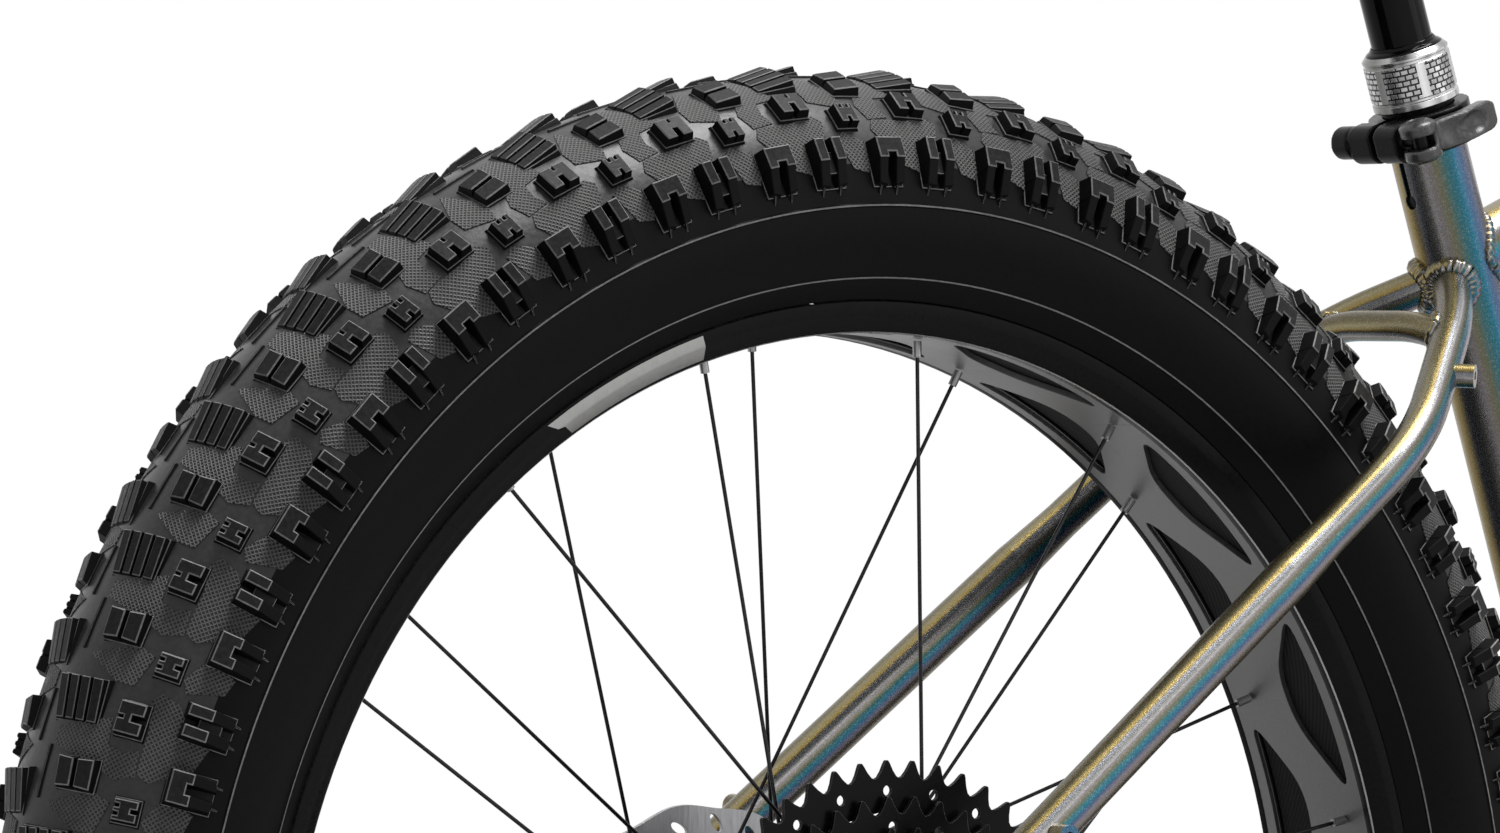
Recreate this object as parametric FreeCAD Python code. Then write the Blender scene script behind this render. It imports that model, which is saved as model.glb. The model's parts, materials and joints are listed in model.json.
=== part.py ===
import FreeCAD, Part
import math
import os

os.makedirs("parts", exist_ok=True)

# A rigid fat tire bicycle, in millimetres.
# +X points forward, +Y to the rider's left, +Z up.
# The origin lies on the ground, midway between the two wheels.

# Shared fits
overrun = 4.0            # a cutting tool runs this far past what it cuts
fit_gap = 0.3            # fixed neighbours stand this far apart
weld_gap = 0.2           # a mitred tube end stands this far off its neighbour
running_fit = 0.05       # radial clearance of a turning or sliding pair
tangent_share = 0.45     # part of the shorter run that a bend takes up

# Frame geometry
chainstay_room = 85.0    # from the tread to the middle of the bottom bracket
bottom_bracket_drop = 60.0
seat_angle = 72.3
seat_mast = 67.0         # seat tube above the top tube's axis
stack_room = 229.0       # stack over the tyre's radius
reach = 420.0
head_angle = 69.0
head_tube_length = 120.0
fork_offset = 51.0

# Frame tubes
seat_tube_radius = 16.7
post_radius = 15.45
post_fit = 0.2
head_tube_radius = 23.0
top_tube_radius = 15.9
down_tube_radius = 25.0
tube_wall = 2.0
top_tube_seat_height = 376.0
top_tube_head_drop = 32.0
down_tube_head_drop = 75.0
shell_radius = 23.0
shell_bore = 20.0
shell_width = 100.0
seat_slot_width = 3.0
seat_slot_length = 34.0
seat_slot_hole_radius = 3.2

# Seatstays: the foot is taken from the rear axle, the rest from the top tube's place on the seat tube
stay_radius = 9.5
stay_top_radius = 8.2
stay_wall = 1.5
stay_foot_x = 4.0
stay_foot_z = 45.5
stay_foot_y = 99.0
stay_head_drop = 7.6
stay_head_back = 10.0
stay_head_y = 5.0
stay_crook_back = 27.0
stay_crook_drop = 17.0
stay_crook_y = 38.0
stay_bend_back = 90.0
stay_bend_drop = 65.0
stay_bend_y = 87.0
stay_taper_start_share = 0.70
stay_taper_end_share = 0.80
bridge_radius = 6.6
bridge_rise = 5.0
bridge_share = 0.86      # place of the bridge between the bend and the crook
low_bridge_radius = 8.0
low_bridge_setback = 50.0
eyelet_radius = 5.0
eyelet_height = 7.0
eyelet_bore = 2.1
eyelet_depth = 6.0
eyelet_high_share = 0.55
eyelet_low_share = 0.16

# Chainstays, places taken from the bottom bracket or the rear axle
chainstay_radius = 10.0
chainstay_wall = 1.6
chainstay_root_back = 16.0
chainstay_root_y = 38.0
chainstay_neck_back = 66.0
chainstay_neck_y = 45.0
chainstay_flare_back = 122.0
chainstay_flare_y = 81.0
chainstay_tail_front = 130.0
chainstay_tail_y = 98.0
chainstay_foot_x = 48.0
chainstay_foot_z = -6.0
chainstay_foot_y = 99.0

# Dropouts
hub_width_rear = 197.0
dropout_thickness = 7.0
dropout_radius = 17.0
axle_radius_rear = 6.0
axle_bore = 3.0
axle_head_radius = 9.5
axle_head_length = 5.0
sleeve_radius = 8.5
hanger_x = 6.0
hanger_z = -29.0
hanger_radius = 10.0
hanger_bolt_radius = 5.0

# Bottle bosses on the down tube
boss_radius = 5.0
boss_height = 3.0
boss_bore = 2.1
boss_depth = 12.0
boss_spacing = 64.0
boss_share = 0.42

# Wheels
tyre_radius = 381.0
tyre_depth = 94.5        # from the tread to the rim's flange
casing_radius = 54.0
casing_wall = 3.0
rim_half_width = 41.5
flange_lip = 2.3
flange_foot_drop = 5.5
bead_seat_drop = 7.0
bead_seat_half = 38.4
bead_shelf_half = 31.0
bed_drop = 10.1
bed_half = 27.0
rim_depth = 12.8
rim_edge_half = 36.2
bead_foot_half = 33.5
bead_height = 6.6
rim_cutouts = 16
cutout_length_share = 0.60
cutout_width = 15.0
cutout_y = 14.5
strip_thickness = 0.8
strip_half = 25.5
tread_sectors = 40
spoke_count = 32
spoke_radius = 0.8
nipple_radius = 1.8
nipple_length = 6.5
nipple_y = 20.0
spoke_cross_share = 3.0   # hub hole spacings between a spoke's two ends
flange_radius = 30.0
flange_thickness = 3.4
hole_circle_radius = 26.5
hub_core_radius = 19.0
hub_neck_radius = 15.0
bearing_radius = 12.0
bearing_width = 7.0
flange_left_rear = 58.0
flange_right_rear = 38.0
flange_left_front = 40.0
flange_right_front = 48.0
hub_end_rear_left = 92.0
hub_end_rear_right = 43.0
hub_end_front_left = 62.0
hub_end_front_right = 66.0
rotor_radius = 80.0
rotor_band = 15.0
rotor_bore = 21.0
rotor_thickness = 1.8
rotor_windows = 6
rotor_window_share = 0.34
rotor_seat_length = 8.0
rotor_y_rear = 78.0
rotor_y_front = 55.0

# Tread blocks: length, width and height of each
ramp_size = (16.0, 20.0, 4.5)
split_size = (11.0, 14.0, 4.5)
large_size = (12.0, 9.5, 5.5)
small_size = (8.0, 8.0, 5.5)
shoulder_size = (12.0, 16.0, 6.5)
block_root = 1.2         # a block's foot is sunk this far in the casing

# Tread angles: each block's turn from the sector's middle and its lean round the section
ramp_angles = (0.0, 14.5)
split_angles = (-4.7, 24.0)
large_angles = (0.55, 41.0)
small_angles = (-3.1, 48.5)
arch_angles = (-5.2, 69.0)
fork_angles = (-0.35, 69.0)
sector_start_angle = -6.6      # where a tread sector begins, from its middle

# Drive train
chain_pitch = 12.7
chain_plane = 65.8
chainring_teeth = 30
driven_teeth = 28
cassette_teeth = (50, 43, 37, 32, 28, 24, 21, 18, 16, 14, 12, 11)
cog_spacing = 3.45
cog_thickness = 1.6
ring_thickness = 2.0
tooth_root = 4.1
tooth_tip = 3.2
tooth_root_width = 6.0
tooth_tip_width = 2.0
chain_roller_radius = 3.6
chain_plate_height = 8.4
chain_inner_half = 1.25
chain_outer_half = 2.3
freehub_radius = 17.0
freehub_end = 95.0
freehub_wall_gap = 0.5
chainring_arm_radius = 44.0
chainring_window_radius = 9.0
chainring_windows = 6
crank_length = 170.0
crank_boss_radius = 19.0
crank_boss_in = 63.0
crank_boss_out = 90.0
crank_elbow_share = 0.58
crank_elbow_y = 103.0
crank_tip_y = 106.0
crank_root_width = 34.0
crank_elbow_width = 28.0
crank_tip_width = 24.0
crank_thickness = 14.0
crank_eye_radius = 14.0
spindle_radius = 12.0
cup_radius = 24.5
cup_width = 9.0
cup_bearing_radius = 18.5
pedal_spindle_radius = 4.5
pedal_collar_radius = 8.5
pedal_collar_length = 7.0
pedal_length = 100.0
pedal_width = 98.0
pedal_thickness = 15.0
pedal_corner = 16.0
pedal_tube_radius = 9.0
pedal_rim_width = 15.0
pedal_end_gap = 0.5
pulley_teeth = 12
guide_x = 14.0
guide_z = -91.0
cage_length = 93.0
cage_angle = 20.0
cage_plate_thickness = 1.6
cage_plate_half = 11.0
cage_plate_gap = 3.5
pulley_thickness = 1.8
pulley_pin_radius = 3.0
knuckle_radius = 12.5
knuckle_length = 17.0
p_knuckle_radius = 14.0
p_knuckle_out = 92.0
link_width = 15.0
link_thickness = 9.0

# Dropper seatpost
stanchion_radius = 13.25
post_spare = 15.0         # outer tube left below the stanchion at full travel
post_show = 5.0
collar_radius = 18.75
collar_height = 25.0
collar_chamfer = 2.0
wiper_radius = 16.2
wiper_height = 6.0
dropper_travel = 125.0
stanchion_show = 140.0
stanchion_overlap = 92.0
stanchion_wall = 2.0

# Seat clamp
clamp_wall = 5.0
clamp_height = 17.0
clamp_lip = 3.0
clamp_ear_back = 30.0
clamp_ear_half = 15.0
clamp_slot = 3.0
clamp_bolt_back = 24.0
clamp_bolt_drop = 4.5
clamp_bolt_radius = 2.5
clamp_nut_radius = 7.2
clamp_nut_length = 10.0
lever_pin_y = 25.0
lever_pin_radius = 3.5
lever_head_radius = 8.0
lever_height = 18.0
lever_arm_height = 13.0
lever_slot = 5.6
lever_web_start = 3.5
lever_thickness = 6.0
lever_elbow = (-1.0, -29.5)    # forward of the seat tube's axis, and to the right
lever_tip = (15.5, -26.0)
lever_scoop_radius = 18.0
lever_scoop_depth = 1.1

# Saddle, places along it counted from its back
saddle_length = 275.0
saddle_width = 146.0
saddle_back_share = 0.52
saddle_height = 38.0
saddle_station_shares = (0.0, 0.05, 0.14, 0.30, 0.48, 0.68, 0.88, 0.97, 1.0)
saddle_width_shares = (0.55, 0.82, 1.0, 0.92, 0.60, 0.36, 0.28, 0.23, 0.15)
saddle_height_shares = (0.62, 0.90, 1.0, 0.95, 0.85, 0.80, 0.76, 0.62, 0.42)
saddle_belly_share = 0.35      # height of the cover's widest line
saddle_tuck_share = 0.92       # width of the cover's foot against its widest line
saddle_shell_share = 0.86      # width of the shell against the cover
saddle_shell_thickness = 4.0
rail_radius = 3.5
rail_half = 22.0
rail_drop = 34.0
rail_flat = 86.0
rail_front_x = 108.0
rail_front_y = 9.0
rail_back_x = 105.0
rail_back_y = 40.0
seat_head_radius = 16.0
seat_head_height = 20.0
cradle_length = 36.0
cradle_height = 13.0
cradle_half = 29.0

# Fork, in the steering frame: origin on the crown race, Z along the steerer
crown_height = 36.0
crown_depth = 42.0
crown_half = 94.0
crown_edge = 12.0
leg_y = 80.0
leg_top_radius = 15.0
leg_foot_radius = 11.0
leg_foot_rise = 12.0
steerer_radius = 14.3
steerer_wall = 2.4
hub_width_front = 150.0
fork_tip_radius = 15.0
fork_tip_thickness = 9.0
axle_radius_front = 7.5
sleeve_radius_front = 9.5
bearing_radius_front = 13.0

# Headset, stem and handlebar
lower_cup_height = 12.0
upper_cup_height = 10.0
headset_cup_radius = 25.0
headset_bearing_radius = 20.5
headset_bearing_height = 7.0
spacer_height = 15.0
spacer_radius = 17.5
stem_height = 40.0
stem_radius = 19.5
stem_length = 60.0
stem_rise = 6.0
stem_neck_radius = 14.5
stem_face_radius = 22.5
stem_face_half = 24.0
stem_split = 2.0
steerer_setback = 3.0
top_cap_height = 4.0
bar_clamp_radius = 15.9
bar_radius = 11.1
bar_wall = 2.2
bar_clamp_half = 40.0
bar_taper_end = 84.0
bar_bend_start = 100.0
bar_bend_y = 130.0
bar_bend_sweep_share = 0.12
bar_end_y = 375.0
bar_rise = 18.0
bar_sweep = 40.0
grip_length = 132.0
grip_radius = 16.0
grip_flange_radius = 19.0
grip_flange_length = 5.0
grip_end_gap = 4.0

# Brake levers, shifter and dropper lever, placed along the bar's end run
lever_clamp_in = 190.0
lever_clamp_half = 7.0
lever_clamp_radius = 15.5
master_start = 180.0
master_length = 64.0
master_radius = 9.0
master_offset = 27.0
master_neck = 12.0
brake_pin_in = 172.0
brake_pin_offset = 33.0
brake_pin_radius = 3.0
brake_hub_radius = 7.0
brake_hub_half = 4.5
brake_lug_thickness = 4.0
brake_lug_length = 22.0
brake_lug_width = 14.0
brake_lug_gap = 0.5
brake_elbow_in = 150.0
brake_elbow_offset = 52.0
brake_tip_in = 54.0
brake_tip_offset = 50.0
brake_arm_width = 10.0
brake_blade_width = 7.0
brake_blade_half = 6.0
control_clamp_in = 213.0
control_clamp_half = 6.0
control_sink = 2.5       # a control's body is sunk this far in its clamp
shifter_length = 30.0
shifter_width = 30.0
shifter_height = 20.0
remote_length = 22.0
remote_width = 20.0
remote_height = 12.0
paddle_gap = 0.5
paddle_pin_radius = 3.0
paddle_cap_radius = 5.0
paddle_cap_height = 1.5
paddle_hub_radius = 8.0
paddle_thickness = 4.0
paddle_reach = 44.0
paddle_lean = 22.0
paddle_width = 12.0
paddle_pad_radius = 7.5

# Brakes
caliper_length = 46.0
caliper_height = 30.0
caliper_width = 26.0
caliper_slot = 6.0
caliper_corner = 6.0
pad_length = 22.0
pad_height = 14.0
pad_thickness = 1.6
pad_clearance = 0.3
caliper_angle_rear = 30.0
caliper_angle_front = 150.0
caliper_reach = 72.0
slot_reach = 82.0
caliper_foot_radius = 5.0
caliper_foot_spread = 14.0
caliper_foot_y = 7.0
leg_foot_places = (85.0, 50.0)
mount_plate_length = 24.0
mount_plate_width = 18.0
mount_plate_height = 16.0
mount_plate_x = 62.0
mount_plate_y = 95.0
mount_plate_z = 12.4
banjo_y = 8.0
hose_radius = 2.5
housing_radius = 2.0

# Ways of the hoses and housings after their first point
rear_hose_way = ((125.0, 87.0, 72.0), (205.0, 91.9, -14.8))
shift_housing_way = ((160.0, -95.6, -33.2), (110.0, -100.0, -50.0), (60.0, -112.0, -44.0),
                     (19.0, -114.3, -31.0))
front_hose_way = ((86.4, 102.4, 201.6), (92.0, 74.0, 180.0), (84.0, 62.0, 120.0), (52.0, 78.0, 55.0),
                  (12.0, 101.0, 0.0), (-6.0, 102.0, -60.0), (4.0, 101.0, -130.0), (18.0, 100.0, -220.0),
                  (22.0, 98.0, -310.0), (-10.0, 84.0, -350.0), (-26.0, 66.0, -381.0))
back_hose_way = ((86.4, -102.4, 201.6), (88.0, -66.0, 184.0), (74.0, -36.0, 158.0), (44.0, -18.0, 149.5),
                 (16.9, -6.9, 149.5))
shift_way = ((83.5, -129.6, 175.6), (88.0, -96.0, 166.0), (70.0, -58.0, 148.0), (40.0, -40.0, 147.5),
             (12.9, -12.9, 149.5))
remote_way = ((81.3, 131.2, 179.6), (86.0, 96.0, 166.0), (66.0, 54.0, 148.0), (38.0, 34.0, 147.5),
              (13.6, 12.2, 149.5))
shift_exit_y = 9.0
shift_exit_drop = 24.0
remote_exit_y = 6.0
remote_exit_drop = 19.0


def vec(x, y, z):
    return FreeCAD.Vector(x, y, z)


def unit(v):
    return vec(v.x, v.y, v.z).multiply(1.0 / v.Length)


def rod(a, b, radius):
    return Part.makeCylinder(radius, (b - a).Length, a, b - a)


def cone(a, b, radius_a, radius_b):
    return Part.makeCone(radius_a, radius_b, (b - a).Length, a, b - a)


def pipe(a, b, outer, inner):
    past = unit(b - a) * overrun
    return rod(a, b, outer).cut(rod(a - past, b + past, inner))


def fuse(shapes):
    whole = shapes[0].multiFuse(shapes[1:]) if len(shapes) > 1 else shapes[0]
    return whole.removeSplitter()


def ring(centre, y_start, y_end, outer, inner):
    a = centre + vec(0, y_start, 0)
    b = centre + vec(0, y_end, 0)
    return pipe(a, b, outer, inner)


def upright(shape):
    if shape.Volume < 0:
        shape.reverse()
    return shape


def spin(outline, degrees=360.0):
    # an outline of (radius, place along the axle) turned about the Y axis
    points = [vec(radius, across, 0) for radius, across in outline]
    face = Part.Face(Part.makePolygon(points + points[:1]))
    return upright(face.revolve(vec(0, 0, 0), vec(0, 1, 0), degrees))


def plate(outline, y_start, y_end):
    points = [vec(x, y_start, z) for x, z in outline]
    face = Part.Face(Part.makePolygon(points + points[:1]))
    return upright(face.extrude(vec(0, y_end - y_start, 0)))


def block(centre, length, width, height):
    corner = centre - vec(length / 2, width / 2, height / 2)
    return Part.makeBox(length, width, height, corner)


def route(points):
    # straight runs joined by tangent arcs, each as large as its runs allow
    edges = []
    start = points[0]
    for before, corner, after in zip(points, points[1:], points[2:]):
        inward = unit(before - corner)
        onward = unit(after - corner)
        shorter = min((before - corner).Length, (after - corner).Length)
        tangent = tangent_share * shorter
        turn = math.pi - inward.getAngle(onward)
        radius = tangent / math.tan(turn / 2)
        depth = radius / math.cos(turn / 2) - radius
        first = corner + inward * tangent
        last = corner + onward * tangent
        middle = corner + unit(inward + onward) * depth
        edges.append(Part.LineSegment(start, first).toShape())
        edges.append(Part.Arc(first, middle, last).toShape())
        start = last
    edges.append(Part.LineSegment(start, points[-1]).toShape())
    return Part.Wire(edges)


def bent_rod(points, radius):
    path = route(points)
    circle = Part.Circle(points[0], points[1] - points[0], radius)
    section = Part.Wire([circle.toShape()])
    return upright(path.makePipeShell([section], True, False))


def hose(name, points, radius):
    solid = bent_rod(points, radius)
    path = route(points)
    bends = [edge.Curve.Radius for edge in path.Edges if hasattr(edge.Curve, "Radius")]
    ratio = solid.Volume / (math.pi * radius * radius * path.Length)
    rounded = [round(bend) for bend in bends]
    print(name, "length", round(path.Length), "volume share", round(ratio, 3), "radii", rounded)
    return solid


def mirrored(shape):
    return shape.mirror(vec(0, 0, 0), vec(0, 1, 0))


def placed(shape, origin, along_x, along_y, along_z):
    matrix = FreeCAD.Matrix(along_x.x, along_y.x, along_z.x, origin.x,
                            along_x.y, along_y.y, along_z.y, origin.y,
                            along_x.z, along_y.z, along_z.z, origin.z,
                            0, 0, 0, 1)
    moved = shape.copy()
    moved.Placement = FreeCAD.Placement(matrix).multiply(moved.Placement)
    return moved


def save(name, shapes):
    shape = shapes if isinstance(shapes, Part.Shape) else Part.makeCompound(shapes)
    solids = shape.Solids
    faulty = [solid for solid in solids if not solid.isValid() or solid.Volume <= 0]
    print(name, "solids", len(solids), "faces", len(shape.Faces), "faulty", len(faulty))
    if len(solids) == 1:
        shape = solids[0]
    shape.exportStep("parts/" + name + ".step")


# Main points of the bicycle
seat_rad = math.radians(seat_angle)
head_rad = math.radians(head_angle)
chainstay_length = tyre_radius + chainstay_room
bracket_x = math.sqrt(chainstay_length ** 2 - bottom_bracket_drop ** 2)
stack = tyre_radius + stack_room
head_top_z = tyre_radius - bottom_bracket_drop + stack
seat_tube_length = top_tube_seat_height + seat_mast
steer_run = head_tube_length + lower_cup_height
crown_x = bracket_x + reach + steer_run * math.cos(head_rad)
crown_z = head_top_z - steer_run * math.sin(head_rad)
fork_drop = (crown_z - tyre_radius + fork_offset * math.cos(head_rad)) / math.sin(head_rad)
wheelbase = crown_x + fork_drop * math.cos(head_rad) + fork_offset * math.sin(head_rad)

across = vec(0, 1, 0)
seat_up = vec(-math.cos(seat_rad), 0, math.sin(seat_rad))
seat_front = vec(math.sin(seat_rad), 0, math.cos(seat_rad))
head_up = vec(-math.cos(head_rad), 0, math.sin(head_rad))
head_front = vec(math.sin(head_rad), 0, math.cos(head_rad))
rear_axle = vec(-wheelbase / 2, 0, tyre_radius)
front_axle = vec(wheelbase / 2, 0, tyre_radius)
bracket = rear_axle + vec(bracket_x, 0, -bottom_bracket_drop)
seat_top = bracket + seat_up * seat_tube_length
head_top = bracket + vec(reach, 0, stack)
head_bottom = head_top - head_up * head_tube_length
crown = head_bottom - head_up * lower_cup_height
print("wheelbase", round(wheelbase, 2), "rear", rear_axle, "bracket", bracket)
print("seat top", seat_top, "head top", head_top, "crown", crown)


def on_seat(x, y, z):
    # a place given from the seat tube's top, Z along the tube
    return seat_top + seat_front * x + across * y + seat_up * z


def on_steer(x, y, z):
    # a place given from the crown race, Z along the steerer
    return crown + head_front * x + across * y + head_up * z


# Frame tubes
seat_outer = rod(bracket, seat_top, seat_tube_radius)
seat_fence = rod(bracket, seat_top, seat_tube_radius + weld_gap)
head_fence = rod(head_bottom, head_top, head_tube_radius + weld_gap)
shell_fence = rod(bracket + across * (-shell_width), bracket + across * shell_width,
                  shell_radius + weld_gap)
down_head = head_top - head_up * down_tube_head_drop
down_fence = rod(bracket, down_head, down_tube_radius + weld_gap)


def frame_tube(a, b, radius, fences):
    tube = pipe(a, b, radius, radius - tube_wall)
    for fence in fences:
        tube = tube.cut(fence)
    return max(tube.Solids, key=lambda solid: solid.Volume)


def make_seat_tube():
    past = seat_up * overrun
    tube = seat_outer.cut(rod(bracket - past, seat_top + past, post_radius + post_fit))
    tube = tube.cut(shell_fence).cut(down_fence)
    slot = block(vec(-seat_tube_radius, 0, -seat_slot_length / 2),
                 seat_tube_radius * 2, seat_slot_width, seat_slot_length)
    slot = placed(slot, seat_top, seat_front, across, seat_up)
    hole = rod(on_seat(0, 0, -seat_slot_length),
               on_seat(-seat_tube_radius - overrun, 0, -seat_slot_length), seat_slot_hole_radius)
    tube = tube.cut(slot).cut(hole)
    return max(tube.Solids, key=lambda solid: solid.Volume)


top_tube_seat = bracket + seat_up * top_tube_seat_height
top_tube_head = head_top - head_up * top_tube_head_drop
top_tube = frame_tube(top_tube_seat, top_tube_head, top_tube_radius, (seat_fence, head_fence))
down_tube = frame_tube(bracket, down_head, down_tube_radius, (shell_fence, head_fence))
head_tube = pipe(head_bottom, head_top, head_tube_radius, head_tube_radius - tube_wall)
shell = ring(bracket, -shell_width / 2, shell_width / 2, shell_radius, shell_bore)

down_run = unit(down_head - bracket)
down_normal = unit(vec(-down_run.z, 0, down_run.x))
boss_middle = bracket + (down_head - bracket) * boss_share
boss_places = [boss_middle + down_run * (side * boss_spacing / 2) for side in (-1, 1)]
boss_tops = [place + down_normal * (down_tube_radius + boss_height) for place in boss_places]
for place, top in zip(boss_places, boss_tops):
    foot = place + down_normal * (down_tube_radius - tube_wall)
    down_tube = down_tube.fuse(rod(foot, top, boss_radius))
    drill = rod(top - down_normal * boss_depth, top + down_normal * overrun, boss_bore)
    down_tube = down_tube.cut(drill)
print("boss tops", boss_tops, "boss axis", down_normal)

save("seat_tube", make_seat_tube())
save("top_tube", top_tube)
save("down_tube", down_tube)
save("head_tube", head_tube)
save("bottom_bracket_shell", shell)


# Seatstays, built on the left and mirrored
stay_joint = bracket + seat_up * (top_tube_seat_height - stay_head_drop) - vec(stay_head_back, 0, 0)
stay_points = [rear_axle + vec(stay_foot_x, stay_foot_y, stay_foot_z),
               stay_joint + vec(-stay_bend_back, stay_bend_y, -stay_bend_drop),
               stay_joint + vec(-stay_crook_back, stay_crook_y, -stay_crook_drop),
               stay_joint + vec(0, stay_head_y, 0)]
stay_foot, stay_bend, stay_crook = stay_points[:3]
stay_run = unit(stay_bend - stay_foot)
taper_start = stay_foot + (stay_bend - stay_foot) * stay_taper_start_share
taper_end = stay_foot + (stay_bend - stay_foot) * stay_taper_end_share


def eyelet(a, b, share, radius, seed):
    # a threaded boss that stands out of a stay on the seed's side
    run = unit(b - a)
    side = unit(seed - run * seed.dot(run))
    place = a + (b - a) * share
    top = place + side * (radius + eyelet_height)
    body = rod(place + side * (radius - stay_wall), top, eyelet_radius)
    drill = rod(top - side * eyelet_depth, top + side * overrun, eyelet_bore)
    print("eyelet", top, side)
    return body, drill


def make_seatstay():
    outer = fuse([rod(stay_foot, taper_start, stay_radius),
                  cone(taper_start, taper_end, stay_radius, stay_top_radius),
                  bent_rod([taper_end] + stay_points[1:], stay_top_radius)])
    inner = bent_rod([stay_foot - stay_run * overrun] + stay_points[1:], stay_top_radius - stay_wall)
    stay = outer.cut(inner).cut(seat_fence)
    stay = max(stay.Solids, key=lambda solid: solid.Volume)
    low = eyelet(stay_foot, stay_bend, eyelet_low_share, stay_radius, across)
    high = eyelet(stay_bend, stay_crook, eyelet_high_share, stay_top_radius, across + vec(1, 0, 0))
    for body, drill in (low, high):
        stay = stay.fuse(body).cut(drill)
    return max(stay.Solids, key=lambda solid: solid.Volume)


seatstay_left = make_seatstay()
save("seatstay_left", seatstay_left)
save("seatstay_right", mirrored(seatstay_left))

# Bridges between the stays, and the chainstays
stay_fence = bent_rod(stay_points, stay_top_radius + weld_gap)
bridge_end = stay_bend + (stay_crook - stay_bend) * bridge_share
bridge_points = [bridge_end,
                 bridge_end + vec(0, -bridge_end.y / 2, bridge_rise),
                 bridge_end + vec(0, -bridge_end.y * 3 / 2, bridge_rise),
                 bridge_end + vec(0, -bridge_end.y * 2, 0)]
bridge = bent_rod(bridge_points, bridge_radius).cut(stay_fence).cut(mirrored(stay_fence))
bridge = max(bridge.Solids, key=lambda solid: solid.Volume)

chainstay_foot = rear_axle + vec(chainstay_foot_x, chainstay_foot_y, chainstay_foot_z)
chainstay_root = bracket + vec(-chainstay_root_back, chainstay_root_y, 0)
chainstay_slope = (chainstay_foot.z - chainstay_root.z) / (chainstay_foot.x - chainstay_root.x)


def on_chainstay(x, y):
    return vec(x, y, chainstay_root.z + chainstay_slope * (x - chainstay_root.x))


chainstay_points = [chainstay_root,
                    on_chainstay(bracket.x - chainstay_neck_back, chainstay_neck_y),
                    on_chainstay(bracket.x - chainstay_flare_back, chainstay_flare_y),
                    on_chainstay(rear_axle.x + chainstay_tail_front, chainstay_tail_y),
                    chainstay_foot]
chainstay_run = unit(chainstay_points[-2] - chainstay_foot)
inner_points = chainstay_points[:-1] + [chainstay_foot - chainstay_run * overrun]
chainstay = bent_rod(chainstay_points, chainstay_radius)
chainstay = chainstay.cut(bent_rod(inner_points, chainstay_radius - chainstay_wall)).cut(shell_fence)
chainstay = max(chainstay.Solids, key=lambda solid: solid.Volume)
chainstay_fence = bent_rod(chainstay_points, chainstay_radius + weld_gap)
low_bridge_y = chainstay_neck_y
low_bridge_x = bracket.x - low_bridge_setback
low_bridge = rod(on_chainstay(low_bridge_x, -low_bridge_y), on_chainstay(low_bridge_x, low_bridge_y),
                 low_bridge_radius)
low_bridge = low_bridge.cut(chainstay_fence).cut(mirrored(chainstay_fence))
low_bridge = max(low_bridge.Solids, key=lambda solid: solid.Volume)

save("stay_bridges", [bridge, low_bridge])
save("chainstays", [chainstay, mirrored(chainstay)])


# Dropouts
def leg_outline(foot, run, radius, root):
    # a flat leg that ends square to the tube it carries
    flat = unit(vec(run.x, 0, run.z))
    side = vec(-flat.z, 0, flat.x)
    end = foot - rear_axle - flat * (fit_gap + weld_gap)
    corners = [end + side * radius, end - side * radius]
    return root + [(corner.x, corner.z) for corner in corners]


def make_dropout():
    y_start = hub_width_rear / 2
    y_end = y_start + dropout_thickness
    sides = [(-dropout_radius, 0), (dropout_radius, 0)]
    posts = [(0, dropout_radius), (0, -dropout_radius)]
    stay_leg = leg_outline(stay_foot, stay_run, stay_radius, sides)
    stay_leg = [stay_leg[0], stay_leg[1], stay_leg[3], stay_leg[2]]
    chain_leg = leg_outline(chainstay_foot, chainstay_run, chainstay_radius, posts)
    chain_leg = [chain_leg[0], chain_leg[1], chain_leg[3], chain_leg[2]]
    disc = ring(vec(0, 0, 0), y_start, y_end, dropout_radius, axle_radius_rear + fit_gap)
    hole = rod(vec(0, y_start - overrun, 0), vec(0, y_end + overrun, 0), axle_radius_rear + fit_gap)
    return [disc, plate(stay_leg, y_start, y_end), plate(chain_leg, y_start, y_end)], hole


def finish_dropout(solids, holes):
    dropout = fuse(solids)
    for hole in holes:
        dropout = dropout.cut(hole)
    return max(dropout.Solids, key=lambda solid: solid.Volume)


dropout_solids, dropout_hole = make_dropout()
hanger_face_y = hub_width_rear / 2 + dropout_thickness
hanger_in = vec(hanger_x, hub_width_rear / 2, hanger_z)
hanger_out = vec(hanger_x, hanger_face_y, hanger_z)
hanger_tab = plate([(-hanger_radius, 0), (dropout_radius, 0),
                    (hanger_x + hanger_radius, hanger_z), (hanger_x - hanger_radius, hanger_z)],
                   hanger_in.y, hanger_out.y)
hanger_bore = rod(hanger_in - across * overrun, hanger_out + across * overrun,
                  hanger_bolt_radius + running_fit)
dropout_left = finish_dropout(dropout_solids, [dropout_hole])
hanger_solids = dropout_solids + [hanger_tab, rod(hanger_in, hanger_out, hanger_radius)]
dropout_right = mirrored(finish_dropout(hanger_solids, [dropout_hole, hanger_bore]))
for name, dropout in (("dropout_left", dropout_left), ("dropout_right", dropout_right)):
    dropout.translate(rear_axle)
    save(name, dropout)


# Thru axles, each with the hub's fixed sleeve around it
def make_axle(centre, hub_width, tip_thickness, radius, sleeve):
    half = hub_width / 2
    left = centre + across * (half + tip_thickness)
    right = centre - across * (half + tip_thickness + fit_gap)
    end = right - across * axle_head_length
    shaft = fuse([rod(left, right, radius), rod(right, end, axle_head_radius)])
    shaft = shaft.cut(rod(left + across * overrun, end - across * overrun, axle_bore))
    print("axle ends", left, end)
    return [shaft, ring(centre, fit_gap - half, half - fit_gap, sleeve, radius + fit_gap)]


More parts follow.
